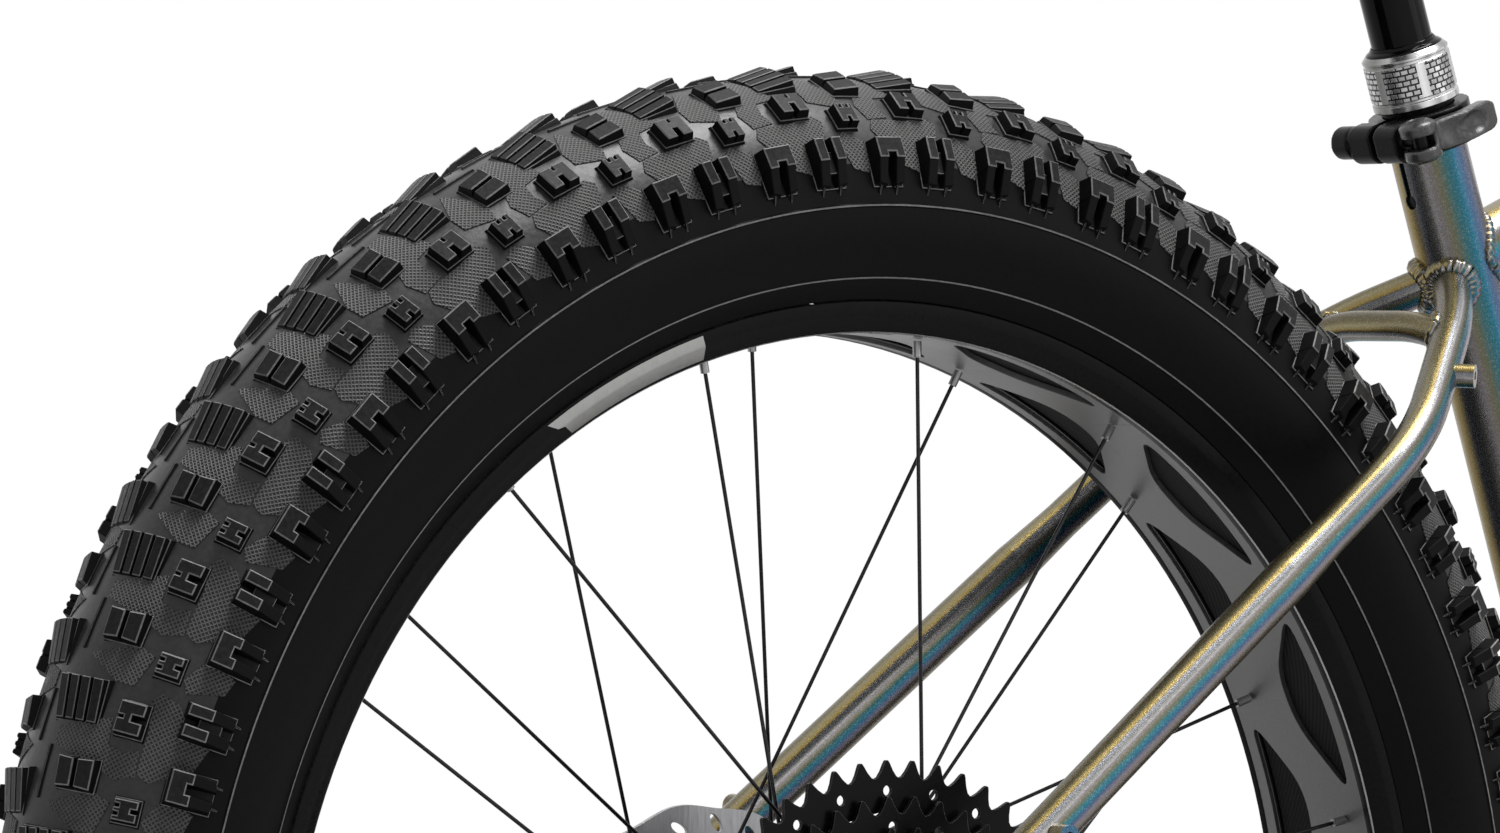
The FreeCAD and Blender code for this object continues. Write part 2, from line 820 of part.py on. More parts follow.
save("rear_thru_axle", make_axle(rear_axle, hub_width_rear, dropout_thickness,
                                 axle_radius_rear, sleeve_radius))
save("front_thru_axle", make_axle(front_axle, hub_width_front, fork_tip_thickness,
                                  axle_radius_front, sleeve_radius_front))


# Wheels, built about the Y axis at the origin
wheel_phase = 2.5
row_pitch = 360.0 / rim_cutouts
rim_flange_radius = tyre_radius - tyre_depth
flange_foot_radius = rim_flange_radius - flange_foot_drop
bead_seat_radius = rim_flange_radius - bead_seat_drop
bed_radius = rim_flange_radius - bed_drop
rim_inner_radius = rim_flange_radius - rim_depth
# the inner edge of a ramp block's face just reaches the tyre's radius
ramp_lean = math.radians(ramp_angles[1])
ramp_width, ramp_height = ramp_size[1:]
ramp_top = (casing_radius + ramp_height) * math.cos(ramp_lean) + ramp_width / 2 * math.sin(ramp_lean)
section_centre = tyre_radius - ramp_top


def turned(shape, degrees):
    # positive lifts the front of the wheel
    copy = shape.copy()
    copy.rotate(vec(0, 0, 0), vec(0, 1, 0), -degrees)
    return copy


def make_rim():
    half = [(bed_radius, bed_half), (bead_seat_radius, bead_shelf_half),
            (bead_seat_radius, bead_seat_half), (rim_flange_radius, rim_half_width - flange_lip),
            (rim_flange_radius, rim_half_width), (flange_foot_radius, rim_half_width),
            (rim_inner_radius, rim_edge_half)]
    outline = half + [(radius, -y) for radius, y in reversed(half)]
    rim = spin(outline)
    length = row_pitch * cutout_length_share
    y_in = cutout_y - cutout_width / 2
    y_out = cutout_y + cutout_width / 2
    window = spin([(rim_inner_radius - overrun, y_in), (bed_radius + overrun, y_in),
                   (bed_radius + overrun, y_out), (rim_inner_radius - overrun, y_out)], length)
    window = turned(window, length / 2)
    tools = []
    for number in range(rim_cutouts):
        tools.append(turned(mirrored(window), wheel_phase + number * row_pitch))
        tools.append(turned(window, wheel_phase + (number + 0.5) * row_pitch))
    return rim.cut(Part.makeCompound(tools))


def make_strip():
    inner = bed_radius + fit_gap
    return ring(vec(0, 0, 0), -strip_half, strip_half, inner + strip_thickness, inner)


def casing_face():
    # a round section, open towards the rim, with a bead on each edge
    lip = rim_flange_radius + fit_gap
    inner = casing_radius - casing_wall
    wide = math.sqrt(casing_radius ** 2 - (section_centre - lip) ** 2)
    foot = bead_seat_radius + fit_gap
    neck = foot + bead_height
    narrow = math.sqrt(inner ** 2 - (section_centre - neck) ** 2)
    bead_top = rim_half_width - flange_lip - fit_gap
    bead_foot = bead_seat_half - fit_gap
    outer_arc = Part.Arc(vec(lip, wide, 0), vec(section_centre + casing_radius, 0, 0),
                         vec(lip, -wide, 0)).toShape()
    inner_arc = Part.Arc(vec(neck, -narrow, 0), vec(section_centre + inner, 0, 0),
                         vec(neck, narrow, 0)).toShape()
    right = [vec(lip, -wide, 0), vec(lip, -bead_top, 0), vec(foot, -bead_foot, 0),
             vec(foot, -bead_foot_half, 0), vec(neck, -narrow, 0)]
    left = [vec(point.x, -point.y, 0) for point in reversed(right)]
    edges = [outer_arc] + Part.makePolygon(right).Edges + [inner_arc] + Part.makePolygon(left).Edges
    return Part.Face(Part.Wire(edges))


def tread_block(side, size, angles):
    # a block that stands on the casing, leaning by an angle round the section
    length, width, height = size
    turn, lean = angles
    body = block(vec((height - block_root) / 2, 0, 0), height + block_root, width, length)
    body.translate(vec(casing_radius, 0, 0))
    body.rotate(vec(0, 0, 0), vec(0, 0, 1), side * lean)
    body.translate(vec(section_centre, 0, 0))
    return turned(body, turn - sector_start_angle)


def make_tyre():
    pitch = 360.0 / tread_sectors
    sector = upright(casing_face().revolve(vec(0, 0, 0), vec(0, 1, 0), -pitch))
    kinds = ((ramp_size, ramp_angles), (split_size, split_angles), (large_size, large_angles),
             (small_size, small_angles), (shoulder_size, arch_angles), (shoulder_size, fork_angles))
    blocks = [tread_block(side, size, angles) for side in (-1, 1) for size, angles in kinds]
    sector = sector.multiFuse(blocks)
    far_end = math.radians(pitch)
    ends = (vec(0, 0, 1), vec(-math.sin(far_end), 0, math.cos(far_end)))

    def is_end(face):
        return any(all(abs(corner.Point.dot(normal)) < fit_gap for corner in face.Vertexes)
                   for normal in ends)

    skin = [face for face in sector.Faces if not is_end(face)]
    faces = []
    for number in range(tread_sectors):
        faces.extend(turned(face, pitch * number) for face in skin)
    shell_faces = Part.makeShell(faces)
    shell_faces.sewShape()
    return turned(upright(Part.Solid(shell_faces)), sector_start_angle)


def make_spokes(flange_left, flange_right):
    # spokes leave the flanges by turns inside and outside, and cross on the way to the rim
    spokes = []
    per_side = spoke_count // 2
    hole_pitch = 360.0 / per_side
    seat = rim_inner_radius - nipple_radius / 2
    edge_run = math.sqrt(flange_radius ** 2 - hole_circle_radius ** 2)
    for side, flange_y, phase in ((-1, flange_right, 0.5), (1, flange_left, 1.0)):
        # an outer spoke slants inwards, so it starts far enough out to pass the flange's edge
        edge_lift = edge_run * (flange_y - nipple_y) / (seat - hole_circle_radius)
        for number in range(per_side):
            lead = -1 if number % 2 else 1
            rim_angle = math.radians(wheel_phase + (number + phase) * hole_pitch)
            hub_angle = rim_angle + lead * math.radians(spoke_cross_share * hole_pitch)
            lean = flange_thickness / 2 + spoke_radius + fit_gap
            if lead == side:
                lean += edge_lift
            hub_end = vec(hole_circle_radius * math.cos(hub_angle), side * flange_y + lead * lean,
                          hole_circle_radius * math.sin(hub_angle))
            rim_end = vec(seat * math.cos(rim_angle), side * nipple_y, seat * math.sin(rim_angle))
            run = unit(rim_end - hub_end)
            collar = rim_end - run * nipple_length
            spokes.append(rod(hub_end, collar, spoke_radius).fuse(rod(collar, rim_end, nipple_radius)))
    return spokes


def make_hub(left_flange, right_flange, left_end, right_end, rotor_y, sleeve, bearing):
    bore = bearing + fit_gap
    half = flange_thickness / 2
    outline = [(bore, -right_end), (hub_core_radius, -right_end), (hub_core_radius, -right_flange - half),
               (flange_radius, -right_flange - half), (flange_radius, half - right_flange),
               (hub_neck_radius + flange_thickness, half - right_flange),
               (hub_neck_radius + flange_thickness, left_flange - half),
               (flange_radius, left_flange - half), (flange_radius, left_flange + half),
               (hub_core_radius, left_flange + half), (hub_core_radius, rotor_y - rotor_seat_length),
               (rotor_bore + flange_thickness, rotor_y - rotor_seat_length),
               (rotor_bore + flange_thickness, rotor_y - rotor_thickness / 2 - fit_gap),
               (rotor_bore - fit_gap, rotor_y - rotor_thickness / 2 - fit_gap),
               (rotor_bore - fit_gap, left_end), (bore, left_end)]
    solids = [spin(outline)]
    for start in (-right_end, left_end - bearing_width):
        solids.append(ring(vec(0, 0, 0), start, start + bearing_width, bearing, sleeve + running_fit))
    return solids


def make_rotor(rotor_y):
    start = rotor_y - rotor_thickness / 2
    end = rotor_y + rotor_thickness / 2
    rotor = ring(vec(0, 0, 0), start, end, rotor_radius, rotor_bore)
    middle = (rotor_bore + rotor_radius - rotor_band) / 2
    window_radius = (rotor_radius - rotor_band - rotor_bore) * rotor_window_share
    for number in range(rotor_windows):
        turn = math.radians(360.0 * number / rotor_windows)
        place = vec(middle * math.cos(turn), 0, middle * math.sin(turn))
        tool = rod(place + across * (start - overrun), place + across * (end + overrun), window_radius)
        rotor = rotor.cut(tool)
    return rotor


def save_wheel(prefix, centre, flanges, ends, rotor_y, sleeve, bearing):
    left_flange, right_flange = flanges
    left_end, right_end = ends
    pieces = {"tyre": [tyre.copy()], "rim": [rim.copy()], "rim_strip": [strip.copy()],
              "spokes": make_spokes(left_flange, right_flange),
              "hub": make_hub(left_flange, right_flange, left_end, right_end, rotor_y, sleeve, bearing),
              "brake_rotor": [make_rotor(rotor_y)]}
    for piece, solids in pieces.items():
        for solid in solids:
            solid.translate(centre)
        save(prefix + "_" + piece, solids)


tyre = make_tyre()
rim = make_rim()
strip = make_strip()
save_wheel("rear", rear_axle, (flange_left_rear, flange_right_rear),
           (hub_end_rear_left, hub_end_rear_right), rotor_y_rear, sleeve_radius, bearing_radius)
save_wheel("front", front_axle, (flange_left_front, flange_right_front),
           (hub_end_front_left, hub_end_front_right), rotor_y_front, sleeve_radius_front,
           bearing_radius_front)


# Bottom bracket and headset bearings
def make_bracket_bearings():
    solids = []
    start = shell_width / 2 + fit_gap
    for side in (-1, 1):
        near = side * start
        far = side * (start + cup_width)
        solids.append(ring(bracket, near, far, cup_radius, cup_bearing_radius))
        solids.append(ring(bracket, near, far, cup_bearing_radius - fit_gap, spindle_radius + running_fit))
    return solids


def steer_ring(z_start, z_end, outer, inner):
    return pipe(on_steer(0, 0, z_start), on_steer(0, 0, z_end), outer, inner)


upper_cup_start = lower_cup_height + head_tube_length
upper_cup_end = upper_cup_start + upper_cup_height


def make_headset():
    solids = []
    lower = (fit_gap, lower_cup_height - weld_gap)
    upper = (upper_cup_start + weld_gap, upper_cup_end)
    for start, end in (lower, upper):
        solids.append(steer_ring(start, end, headset_cup_radius, headset_bearing_radius))
        middle = (start + end) / 2
        solids.append(steer_ring(middle - headset_bearing_height / 2, middle + headset_bearing_height / 2,
                                 headset_bearing_radius - fit_gap, steerer_radius + running_fit))
    return solids


save("bottom_bracket_bearings", make_bracket_bearings())
save("headset_bearings", make_headset())


# Sprockets and chain, in the chain's plane
def pitch_radius(teeth):
    return chain_pitch / (2 * math.sin(math.pi / teeth))


def sprocket(teeth, thickness, bore, middle, phase):
    # the phase is the angle of one gap between two teeth
    radius = pitch_radius(teeth)
    outline = []
    for number in range(teeth):
        turn = phase + 2 * math.pi * (number + 0.5) / teeth
        for place, width, side in ((radius - tooth_root, tooth_root_width, -1),
                                   (radius + tooth_tip, tooth_tip_width, -1),
                                   (radius + tooth_tip, tooth_tip_width, 1),
                                   (radius - tooth_root, tooth_root_width, 1)):
            angle = turn + side * width / (2 * place)
            outline.append((place * math.cos(angle), place * math.sin(angle)))
    disc = plate(outline, middle - thickness / 2, middle + thickness / 2)
    hole = rod(vec(0, middle - thickness, 0), vec(0, middle + thickness, 0), bore)
    return disc.cut(hole)


cage_rad = math.radians(cage_angle)
guide = rear_axle + vec(guide_x, 0, guide_z)
tension = guide + vec(cage_length * math.sin(cage_rad), 0, -cage_length * math.cos(cage_rad))
# the chain's way over each wheel: centre, teeth, and 1 where it turns against the clock
chain_wheels = [(rear_axle, driven_teeth, -1), (bracket, chainring_teeth, -1),
                (tension, pulley_teeth, -1), (guide, pulley_teeth, 1)]


def chain_legs():
    # the direction of each straight leg, from one wheel to the next
    legs = []
    for here, there in zip(chain_wheels, chain_wheels[1:] + chain_wheels[:1]):
        gap = there[0] - here[0]
        lean = there[2] * pitch_radius(there[1]) - here[2] * pitch_radius(here[1])
        legs.append(math.atan2(gap.z, gap.x) + math.asin(-lean / math.hypot(gap.x, gap.z)))
    return legs


legs = chain_legs()


def tangent_point(wheel, heading, offset):
    centre, teeth, sense = wheel
    radius = pitch_radius(teeth) - sense * offset
    return centre + vec(math.sin(heading), 0, -math.cos(heading)) * (sense * radius)


def wheel_span(number):
    # where the chain meets and leaves a wheel, as angles round its centre
    sense = chain_wheels[number][2]
    start = legs[number - 1] - sense * math.pi / 2
    sweep = (sense * (legs[number] - legs[number - 1])) % (2 * math.pi)
    return start, sense * sweep


def chain_loop(offset):
    edges = []
    for number, wheel in enumerate(chain_wheels):
        centre, teeth, sense = wheel
        following = chain_wheels[(number + 1) % len(chain_wheels)]
        start, sweep = wheel_span(number)
        radius = pitch_radius(teeth) - sense * offset
        turns = (start, start + sweep / 2, start + sweep)
        points = [centre + vec(math.cos(turn), 0, math.sin(turn)) * radius for turn in turns]
        edges.append(Part.Arc(*points).toShape())
        leave = tangent_point(wheel, legs[number], offset)
        arrive = tangent_point(following, legs[number], offset)
        edges.append(Part.LineSegment(leave, arrive).toShape())
    return Part.Wire(Part.__sortEdges__(edges))


def chain_rollers():
    # roller places a pitch apart, and the angle of a roller on each wheel
    stretches = []
    for number, wheel in enumerate(chain_wheels):
        following = chain_wheels[(number + 1) % len(chain_wheels)]
        start, sweep = wheel_span(number)
        stretches.append(("arc", number, abs(sweep) * wheel[1] / (2 * math.pi)))
        leave = tangent_point(wheel, legs[number], 0)
        arrive = tangent_point(following, legs[number], 0)
        stretches.append(("leg", (leave, arrive), (arrive - leave).Length / chain_pitch))
    spare = sum(stretch[2] for stretch in stretches)
    slack_leg = 3
    kind, ends, length = stretches[slack_leg]
    stretches[slack_leg] = (kind, ends, length + round(spare) - spare)
    places = []
    phases = {}
    begin = 0.0
    for kind, data, length in stretches:
        for count in range(math.ceil(begin), math.ceil(begin + length)):
            along = (count - begin) / length
            if kind == "leg":
                places.append(data[0] + (data[1] - data[0]) * along)
            else:
                start, sweep = wheel_span(data)
                turn = start + sweep * along
                centre, teeth, sense = chain_wheels[data]
                places.append(centre + vec(math.cos(turn), 0, math.sin(turn)) * pitch_radius(teeth))
                phases.setdefault(data, turn)
        begin += length
    print("chain links", len(places))
    return places, phases


roller_places, phases = chain_rollers()


def make_chain():
    half = chain_plate_height / 2
    wires = [chain_loop(half), chain_loop(-half)]
    faces = sorted((Part.Face(wire) for wire in wires), key=lambda face: face.Area)
    band = faces[1].cut(faces[0])
    plates = []
    for start, end in ((chain_inner_half, chain_outer_half), (-chain_outer_half, -chain_inner_half)):
        side = upright(band.extrude(vec(0, end - start, 0)))
        side.translate(vec(0, start - chain_plane, 0))
        plates.append(side)
    rollers = [rod(place + across * (-chain_inner_half - chain_plane),
                   place + across * (chain_inner_half - chain_plane), chain_roller_radius)
               for place in roller_places]
    return plates[0].multiFuse(plates[1:] + rollers)


save("chain", make_chain())


# Cassette and freehub
driven_place = cassette_teeth.index(driven_teeth)
cassette_bore = freehub_radius + fit_gap
cog_places = [-(chain_plane + (number - driven_place) * cog_spacing)
              for number in range(len(cassette_teeth))]


def make_cassette():
    smallest = pitch_radius(min(cassette_teeth)) - tooth_root
    sleeve = ring(vec(0, 0, 0), cog_places[-1], cog_places[0], smallest, cassette_bore)
    cogs = [sprocket(teeth, cog_thickness, cassette_bore, middle, phases[0])
            for teeth, middle in zip(cassette_teeth, cog_places)]
    cassette = sleeve.multiFuse(cogs)
    cassette.translate(rear_axle)
    return cassette


save("cassette", make_cassette())
save("freehub_body", ring(rear_axle, -hub_end_rear_right - freehub_wall_gap, -freehub_end,
                          freehub_radius, sleeve_radius + running_fit))


# Cranks, chainring and pedals
def crank_section(x, y, width, thickness):
    corner = thickness / 4
    half_w = width / 2
    half_t = thickness / 2
    outline = [(half_t - corner, half_w), (half_t, half_w - corner), (half_t, corner - half_w),
               (half_t - corner, -half_w), (corner - half_t, -half_w), (-half_t, corner - half_w),
               (-half_t, half_w - corner), (corner - half_t, half_w)]
    points = [vec(x, y + along, z) for along, z in outline]
    return Part.makePolygon(points + points[:1])


def make_crank():
    # the left arm, pointing forward
    root_y = crank_boss_out - crank_thickness / 2
    elbow_x = crank_length * crank_elbow_share
    sections = [crank_section(0, root_y, crank_root_width, crank_thickness),
                crank_section(elbow_x, crank_elbow_y, crank_elbow_width, crank_thickness),
                crank_section(crank_length, crank_tip_y, crank_tip_width, crank_thickness)]
    eye = vec(crank_length, 0, 0)
    half = crank_thickness / 2
    bore = spindle_radius + fit_gap
    return fuse([Part.makeLoft(sections, True, True),
                 ring(vec(0, 0, 0), crank_boss_in, crank_boss_out, crank_boss_radius, bore),
                 rod(eye + across * (crank_tip_y - half), eye + across * (crank_tip_y + half),
                     crank_eye_radius)])


pedal_face = crank_tip_y + crank_thickness / 2 + fit_gap
pedal_start = pedal_face + pedal_collar_length + pedal_end_gap


def make_pedal_spindle():
    eye = vec(crank_length, 0, 0)
    start = eye + across * pedal_face
    shoulder = start + across * pedal_collar_length
    end = eye + across * (pedal_start + pedal_length - pedal_rim_width / 2)
    return fuse([rod(start, shoulder, pedal_collar_radius), rod(start, end, pedal_spindle_radius)])


def make_pedal():
    middle = vec(crank_length, pedal_start + pedal_length / 2, 0)
    body = block(middle, pedal_width, pedal_length, pedal_thickness)
    corners = [edge for edge in body.Edges if abs(edge.tangentAt(0).z) > 0.5]
    body = body.makeFillet(pedal_corner, corners)
    window_x = pedal_width / 2 - pedal_rim_width - pedal_tube_radius
    offset = pedal_tube_radius + window_x / 2
    for side in (-1, 1):
        window = block(middle + vec(side * offset, 0, 0), window_x, pedal_length - 2 * pedal_rim_width,
                       pedal_thickness + overrun)
        body = body.cut(window)
    bore_end = pedal_start + pedal_length - pedal_rim_width / 2 + fit_gap
    bore = rod(vec(crank_length, pedal_start - overrun, 0), vec(crank_length, bore_end, 0),
               pedal_spindle_radius + running_fit)
    return body.cut(bore)


def to_crank(shape, forward):
    # the left side's arm points back, and the right side's is its mirror and points forward
    moved = mirrored(shape) if forward else shape.copy()
    if not forward:
        moved.rotate(vec(0, 0, 0), across, 180)
    moved.translate(bracket)
    return moved


axle_end = crank_boss_out - crank_thickness / 4
crank_bore = rod(across * (crank_boss_in - overrun), across * axle_end, spindle_radius + fit_gap)
crank_arm = make_crank().cut(crank_bore)
right_arm = to_crank(make_crank(), True)
spindle = rod(bracket - across * crank_boss_out, bracket + across * (axle_end - fit_gap), spindle_radius)
crank_solids = [fuse([right_arm, spindle]), to_crank(crank_arm, False)]
crank_solids += [to_crank(make_pedal_spindle(), forward) for forward in (True, False)]
save("crank_arms", crank_solids)

chainring = sprocket(chainring_teeth, ring_thickness, crank_boss_radius + fit_gap, -chain_plane, phases[1])
for number in range(chainring_windows):
    turn = 2 * math.pi * number / chainring_windows
    place = vec(math.cos(turn), 0, math.sin(turn)) * (chainring_arm_radius - chainring_window_radius / 2)
    tool = rod(place - across * (chain_plane + overrun), place - across * (chain_plane - overrun),
               chainring_window_radius)
    chainring = chainring.cut(tool)
chainring.translate(bracket)
save("chainring", chainring)
save("pedal_left", to_crank(make_pedal(), False))
save("pedal_right", to_crank(make_pedal(), True))


# Rear derailleur
cage_in = chain_plane - cage_plate_gap
cage_out = chain_plane + cage_plate_gap
pivot_start = cage_out + cage_plate_thickness + fit_gap
pivot_length = (p_knuckle_out - pivot_start) / 2


def make_derailleur():
    hanger = rear_axle + vec(hanger_x, 0, hanger_z)
    face = hanger_face_y + fit_gap
    top = hanger - across * (face + knuckle_length / 2)
    low = guide - across * (p_knuckle_out - link_thickness / 2)
    ends = []
    for centre in (top, low):
        corners = [(-1, -1), (1, -1), (1, 1), (-1, 1)]
        points = [centre + vec(i * link_width / 2, j * link_thickness / 2, 0) for i, j in corners]
        ends.append(Part.makePolygon(points + points[:1]))
    body = fuse([rod(hanger - across * face, hanger - across * (face + knuckle_length), knuckle_radius),
                 rod(hanger - across * (hub_width_rear / 2), hanger - across * face, hanger_bolt_radius),
                 rod(guide - across * pivot_start, guide - across * p_knuckle_out, p_knuckle_radius),
                 Part.makeLoft(ends, True, True)])
    bore = rod(guide - across * (pivot_start - overrun), guide - across * (pivot_start + pivot_length),
               pulley_pin_radius + running_fit)
    return body.cut(bore)


def make_cage():
    run = unit(tension - guide)
    side = vec(-run.z, 0, run.x) * cage_plate_half
    outline = [(point.x, point.z) for point in (guide + side, tension + side, tension - side, guide - side)]
    solids = []
    for start in (cage_out, cage_in - cage_plate_thickness):
        end = start + cage_plate_thickness
        solids.append(plate(outline, -end, -start))
        for centre in (guide, tension):
            solids.append(rod(centre - across * start, centre - across * end, cage_plate_half))
    inside = cage_in - cage_plate_thickness
    pivot_end = pivot_start + pivot_length - fit_gap
    outside = cage_out + cage_plate_thickness
    solids.append(rod(guide - across * inside, guide - across * pivot_end, pulley_pin_radius))
    solids.append(rod(tension - across * inside, tension - across * outside, pulley_pin_radius))
    return fuse(solids)


save("derailleur_body", make_derailleur())
save("derailleur_cage", make_cage())
for name, centre, number in (("guide_pulley", guide, 3), ("tension_pulley", tension, 2)):
    bore = pulley_pin_radius + running_fit
    pulley = sprocket(pulley_teeth, pulley_thickness, bore, -chain_plane, phases[number])
    pulley.translate(vec(centre.x, 0, centre.z))
    save(name, pulley)
print("guide", guide, "tension", tension)


# Dropper seatpost
def to_seat(shape):
    return placed(shape, seat_top, seat_front, across, seat_up)


def seat_turned(outline):
    # an outline of (radius, height) turned about the seat tube's axis
    points = [vec(radius, 0, height) for radius, height in outline]
    face = Part.Face(Part.makePolygon(points + points[:1]))
    return to_seat(upright(face.revolve(vec(0, 0, 0), vec(0, 0, 1), 360)))


def seat_ring(z_start, z_end, outer, inner):
    return pipe(on_seat(0, 0, z_start), on_seat(0, 0, z_end), outer, inner)


slide_bore = stanchion_radius + running_fit
post_insert = stanchion_overlap + dropper_travel + post_spare
collar_start = post_show + fit_gap
collar_end = post_show + collar_height
wiper_end = collar_end + wiper_height
stanchion_end = wiper_end + stanchion_show
bevel = collar_radius - collar_chamfer
collar = seat_turned([(slide_bore, collar_start), (collar_radius, collar_start),
                      (collar_radius, collar_end - collar_chamfer), (bevel, collar_end),
                      (slide_bore, collar_end)])
wiper = seat_ring(collar_end + fit_gap, wiper_end, wiper_radius, slide_bore)
save("dropper_outer_tube", seat_ring(-post_insert, post_show, post_radius, slide_bore))
save("dropper_collar", [collar, wiper])
save("dropper_stanchion", seat_ring(-stanchion_overlap, stanchion_end, stanchion_radius,
                                    stanchion_radius - stanchion_wall))


# Seat clamp and its lever, Z along the seat tube and the ears at the back
def make_clamp():
    inner = seat_tube_radius + fit_gap
    outer = inner + clamp_wall
    foot = clamp_lip - clamp_height
    lip = post_radius + fit_gap
    points = [vec(radius, 0, height) for radius, height in
              ((inner, foot), (outer, foot), (outer, clamp_lip), (lip, clamp_lip), (lip, fit_gap),
               (inner, fit_gap))]
    face = Part.Face(Part.makePolygon(points + points[:1]))
    band = upright(face.revolve(vec(0, 0, 0), vec(0, 0, 1), 360))
    ear_start = outer - clamp_wall / 2
    ears = block(vec(-(ear_start + clamp_ear_back) / 2, 0, foot + clamp_height / 2),
                 clamp_ear_back - ear_start, 2 * clamp_ear_half, clamp_height)
    slot_start = post_radius - clamp_slot
    slot = block(vec(-(slot_start + clamp_ear_back + overrun) / 2, 0, foot + clamp_height / 2),
                 clamp_ear_back + overrun - slot_start, clamp_slot, clamp_height + overrun)
    bolt_place = vec(-clamp_bolt_back, 0, -clamp_bolt_drop)
    past = clamp_ear_half + overrun
    hole = rod(bolt_place - across * past, bolt_place + across * past, clamp_bolt_radius + fit_gap)
    band = fuse([band, ears]).cut(slot).cut(hole)
    pin = bolt_place - across * lever_pin_y
    half = vec(0, 0, lever_height / 2)
    nut_start = clamp_ear_half + fit_gap
    nut_end = nut_start + clamp_nut_length
    bolt = fuse([rod(pin, bolt_place + across * nut_end, clamp_bolt_radius),
                 rod(pin - half, pin + half, lever_pin_radius)])
    nut = ring(bolt_place, nut_start, nut_end, clamp_nut_radius, clamp_bolt_radius + fit_gap)
    return [to_seat(solid) for solid in (band, bolt, nut)]


def beam(a, b, width, half):
    # a flat bar between two places, with its height along Z
    side = unit(vec(a.y - b.y, b.x - a.x, 0)) * (width / 2)
    low = vec(0, 0, -half)
    points = [a + side + low, b + side + low, b - side + low, a - side + low]
    face = Part.Face(Part.makePolygon(points + points[:1]))
    return upright(face.extrude(vec(0, 0, 2 * half)))


def make_clamp_lever():
    pin = vec(-clamp_bolt_back, -lever_pin_y, -clamp_bolt_drop)
    half = vec(0, 0, lever_height / 2)
    arm_half = lever_arm_height / 2
    rise = vec(0, 0, arm_half)
    solids = [rod(pin - half, pin + half, lever_head_radius)]
    last = pin
    for x, y in (lever_elbow, lever_tip):
        spot = vec(x, y, -clamp_bolt_drop)
        solids.append(beam(last, spot, lever_thickness, arm_half))
        solids.append(rod(spot - rise, spot + rise, lever_thickness / 2))
        last = spot
    elbow = vec(*lever_elbow, -clamp_bolt_drop)
    outward = unit(vec(elbow.y - pin.y, pin.x - elbow.x, 0))
    middle = (pin + elbow) / 2 + unit(elbow - pin) * lever_head_radius / 2
    scoop = Part.makeSphere(lever_scoop_radius, middle + outward * (
        lever_thickness / 2 + lever_scoop_radius - lever_scoop_depth))
    past = vec(0, 0, lever_height)
    bore = rod(pin - past, pin + past, lever_pin_radius + running_fit)
    reach = lever_head_radius + overrun
    slot = block(pin + vec((lever_web_start - reach) / 2, 0, 0), lever_web_start + reach, 2 * reach,
                 lever_slot)
    lever = fuse(solids).cut(bore).cut(slot).cut(scoop)
    print("clamp lever pin", on_seat(pin.x, pin.y, pin.z), "axis", seat_up)
    return to_seat(max(lever.Solids, key=lambda solid: solid.Volume))


save("seat_clamp", make_clamp())
save("seat_clamp_lever", make_clamp_lever())


# Saddle, level on the post's head
head_end = on_seat(0, 0, stanchion_end + seat_head_height)
cradle_middle = head_end
saddle_back = -saddle_length * saddle_back_share


def on_saddle(x, y, z):
    return cradle_middle + vec(x, y, z)


def make_rail(side):
    end_z = rail_drop - rail_radius - fit_gap
    points = [on_saddle(rail_front_x, side * rail_front_y, end_z),
              on_saddle(rail_flat / 2, side * rail_half, 0),
              on_saddle(-rail_flat / 2, side * rail_half, 0),
              on_saddle(-rail_back_x, side * rail_back_y, end_z)]
    return bent_rod(points, rail_radius)


def make_post_head():
    post = rod(on_seat(0, 0, stanchion_end + fit_gap), head_end, seat_head_radius)
    cradle = block(cradle_middle, cradle_length, 2 * cradle_half, cradle_height)
    head = fuse([post, cradle])
    for side in (-1, 1):
        reach = cradle_length
        hole = rod(on_saddle(-reach, side * rail_half, 0), on_saddle(reach, side * rail_half, 0),
                   rail_radius + fit_gap)
        head = head.cut(hole)
    return max(head.Solids, key=lambda solid: solid.Volume)


def shell_section(share, width_share):
    half = saddle_width / 2 * width_share * saddle_shell_share
    x = saddle_back + saddle_length * share
    corners = [(-half, 0), (half, 0), (half, saddle_shell_thickness), (-half, saddle_shell_thickness)]
    points = [on_saddle(x, y, rail_drop + z) for y, z in corners]
    return Part.makePolygon(points + points[:1])


def cover_section(share, width_share, height_share):
    x = saddle_back + saddle_length * share
    base = rail_drop + saddle_shell_thickness + fit_gap
    half = saddle_width / 2 * width_share
    height = saddle_height * height_share
    belly = base + height * saddle_belly_share
    foot = half * saddle_tuck_share
    left_foot, right_foot = on_saddle(x, foot, base), on_saddle(x, -foot, base)
    left, right = on_saddle(x, half, belly), on_saddle(x, -half, belly)
    edges = [Part.LineSegment(left_foot, right_foot).toShape(),
             Part.LineSegment(right_foot, right).toShape(),
             Part.Arc(right, on_saddle(x, 0, base + height), left).toShape(),
             Part.LineSegment(left, left_foot).toShape()]
    return Part.Wire(edges)


widths = list(zip(saddle_station_shares, saddle_width_shares))
save("saddle_rails", [make_rail(1), make_rail(-1), make_post_head()])
save("saddle_shell", upright(Part.makeLoft([shell_section(*pair) for pair in widths], True, True)))
cover_wires = [cover_section(*pair, height) for pair, height in zip(widths, saddle_height_shares)]
save("saddle_cover", upright(Part.makeLoft(cover_wires, True, False)))


# Fork, stem and handlebar, in the steering frame
def to_steer(shape):
    return placed(shape, crown, head_front, across, head_up)


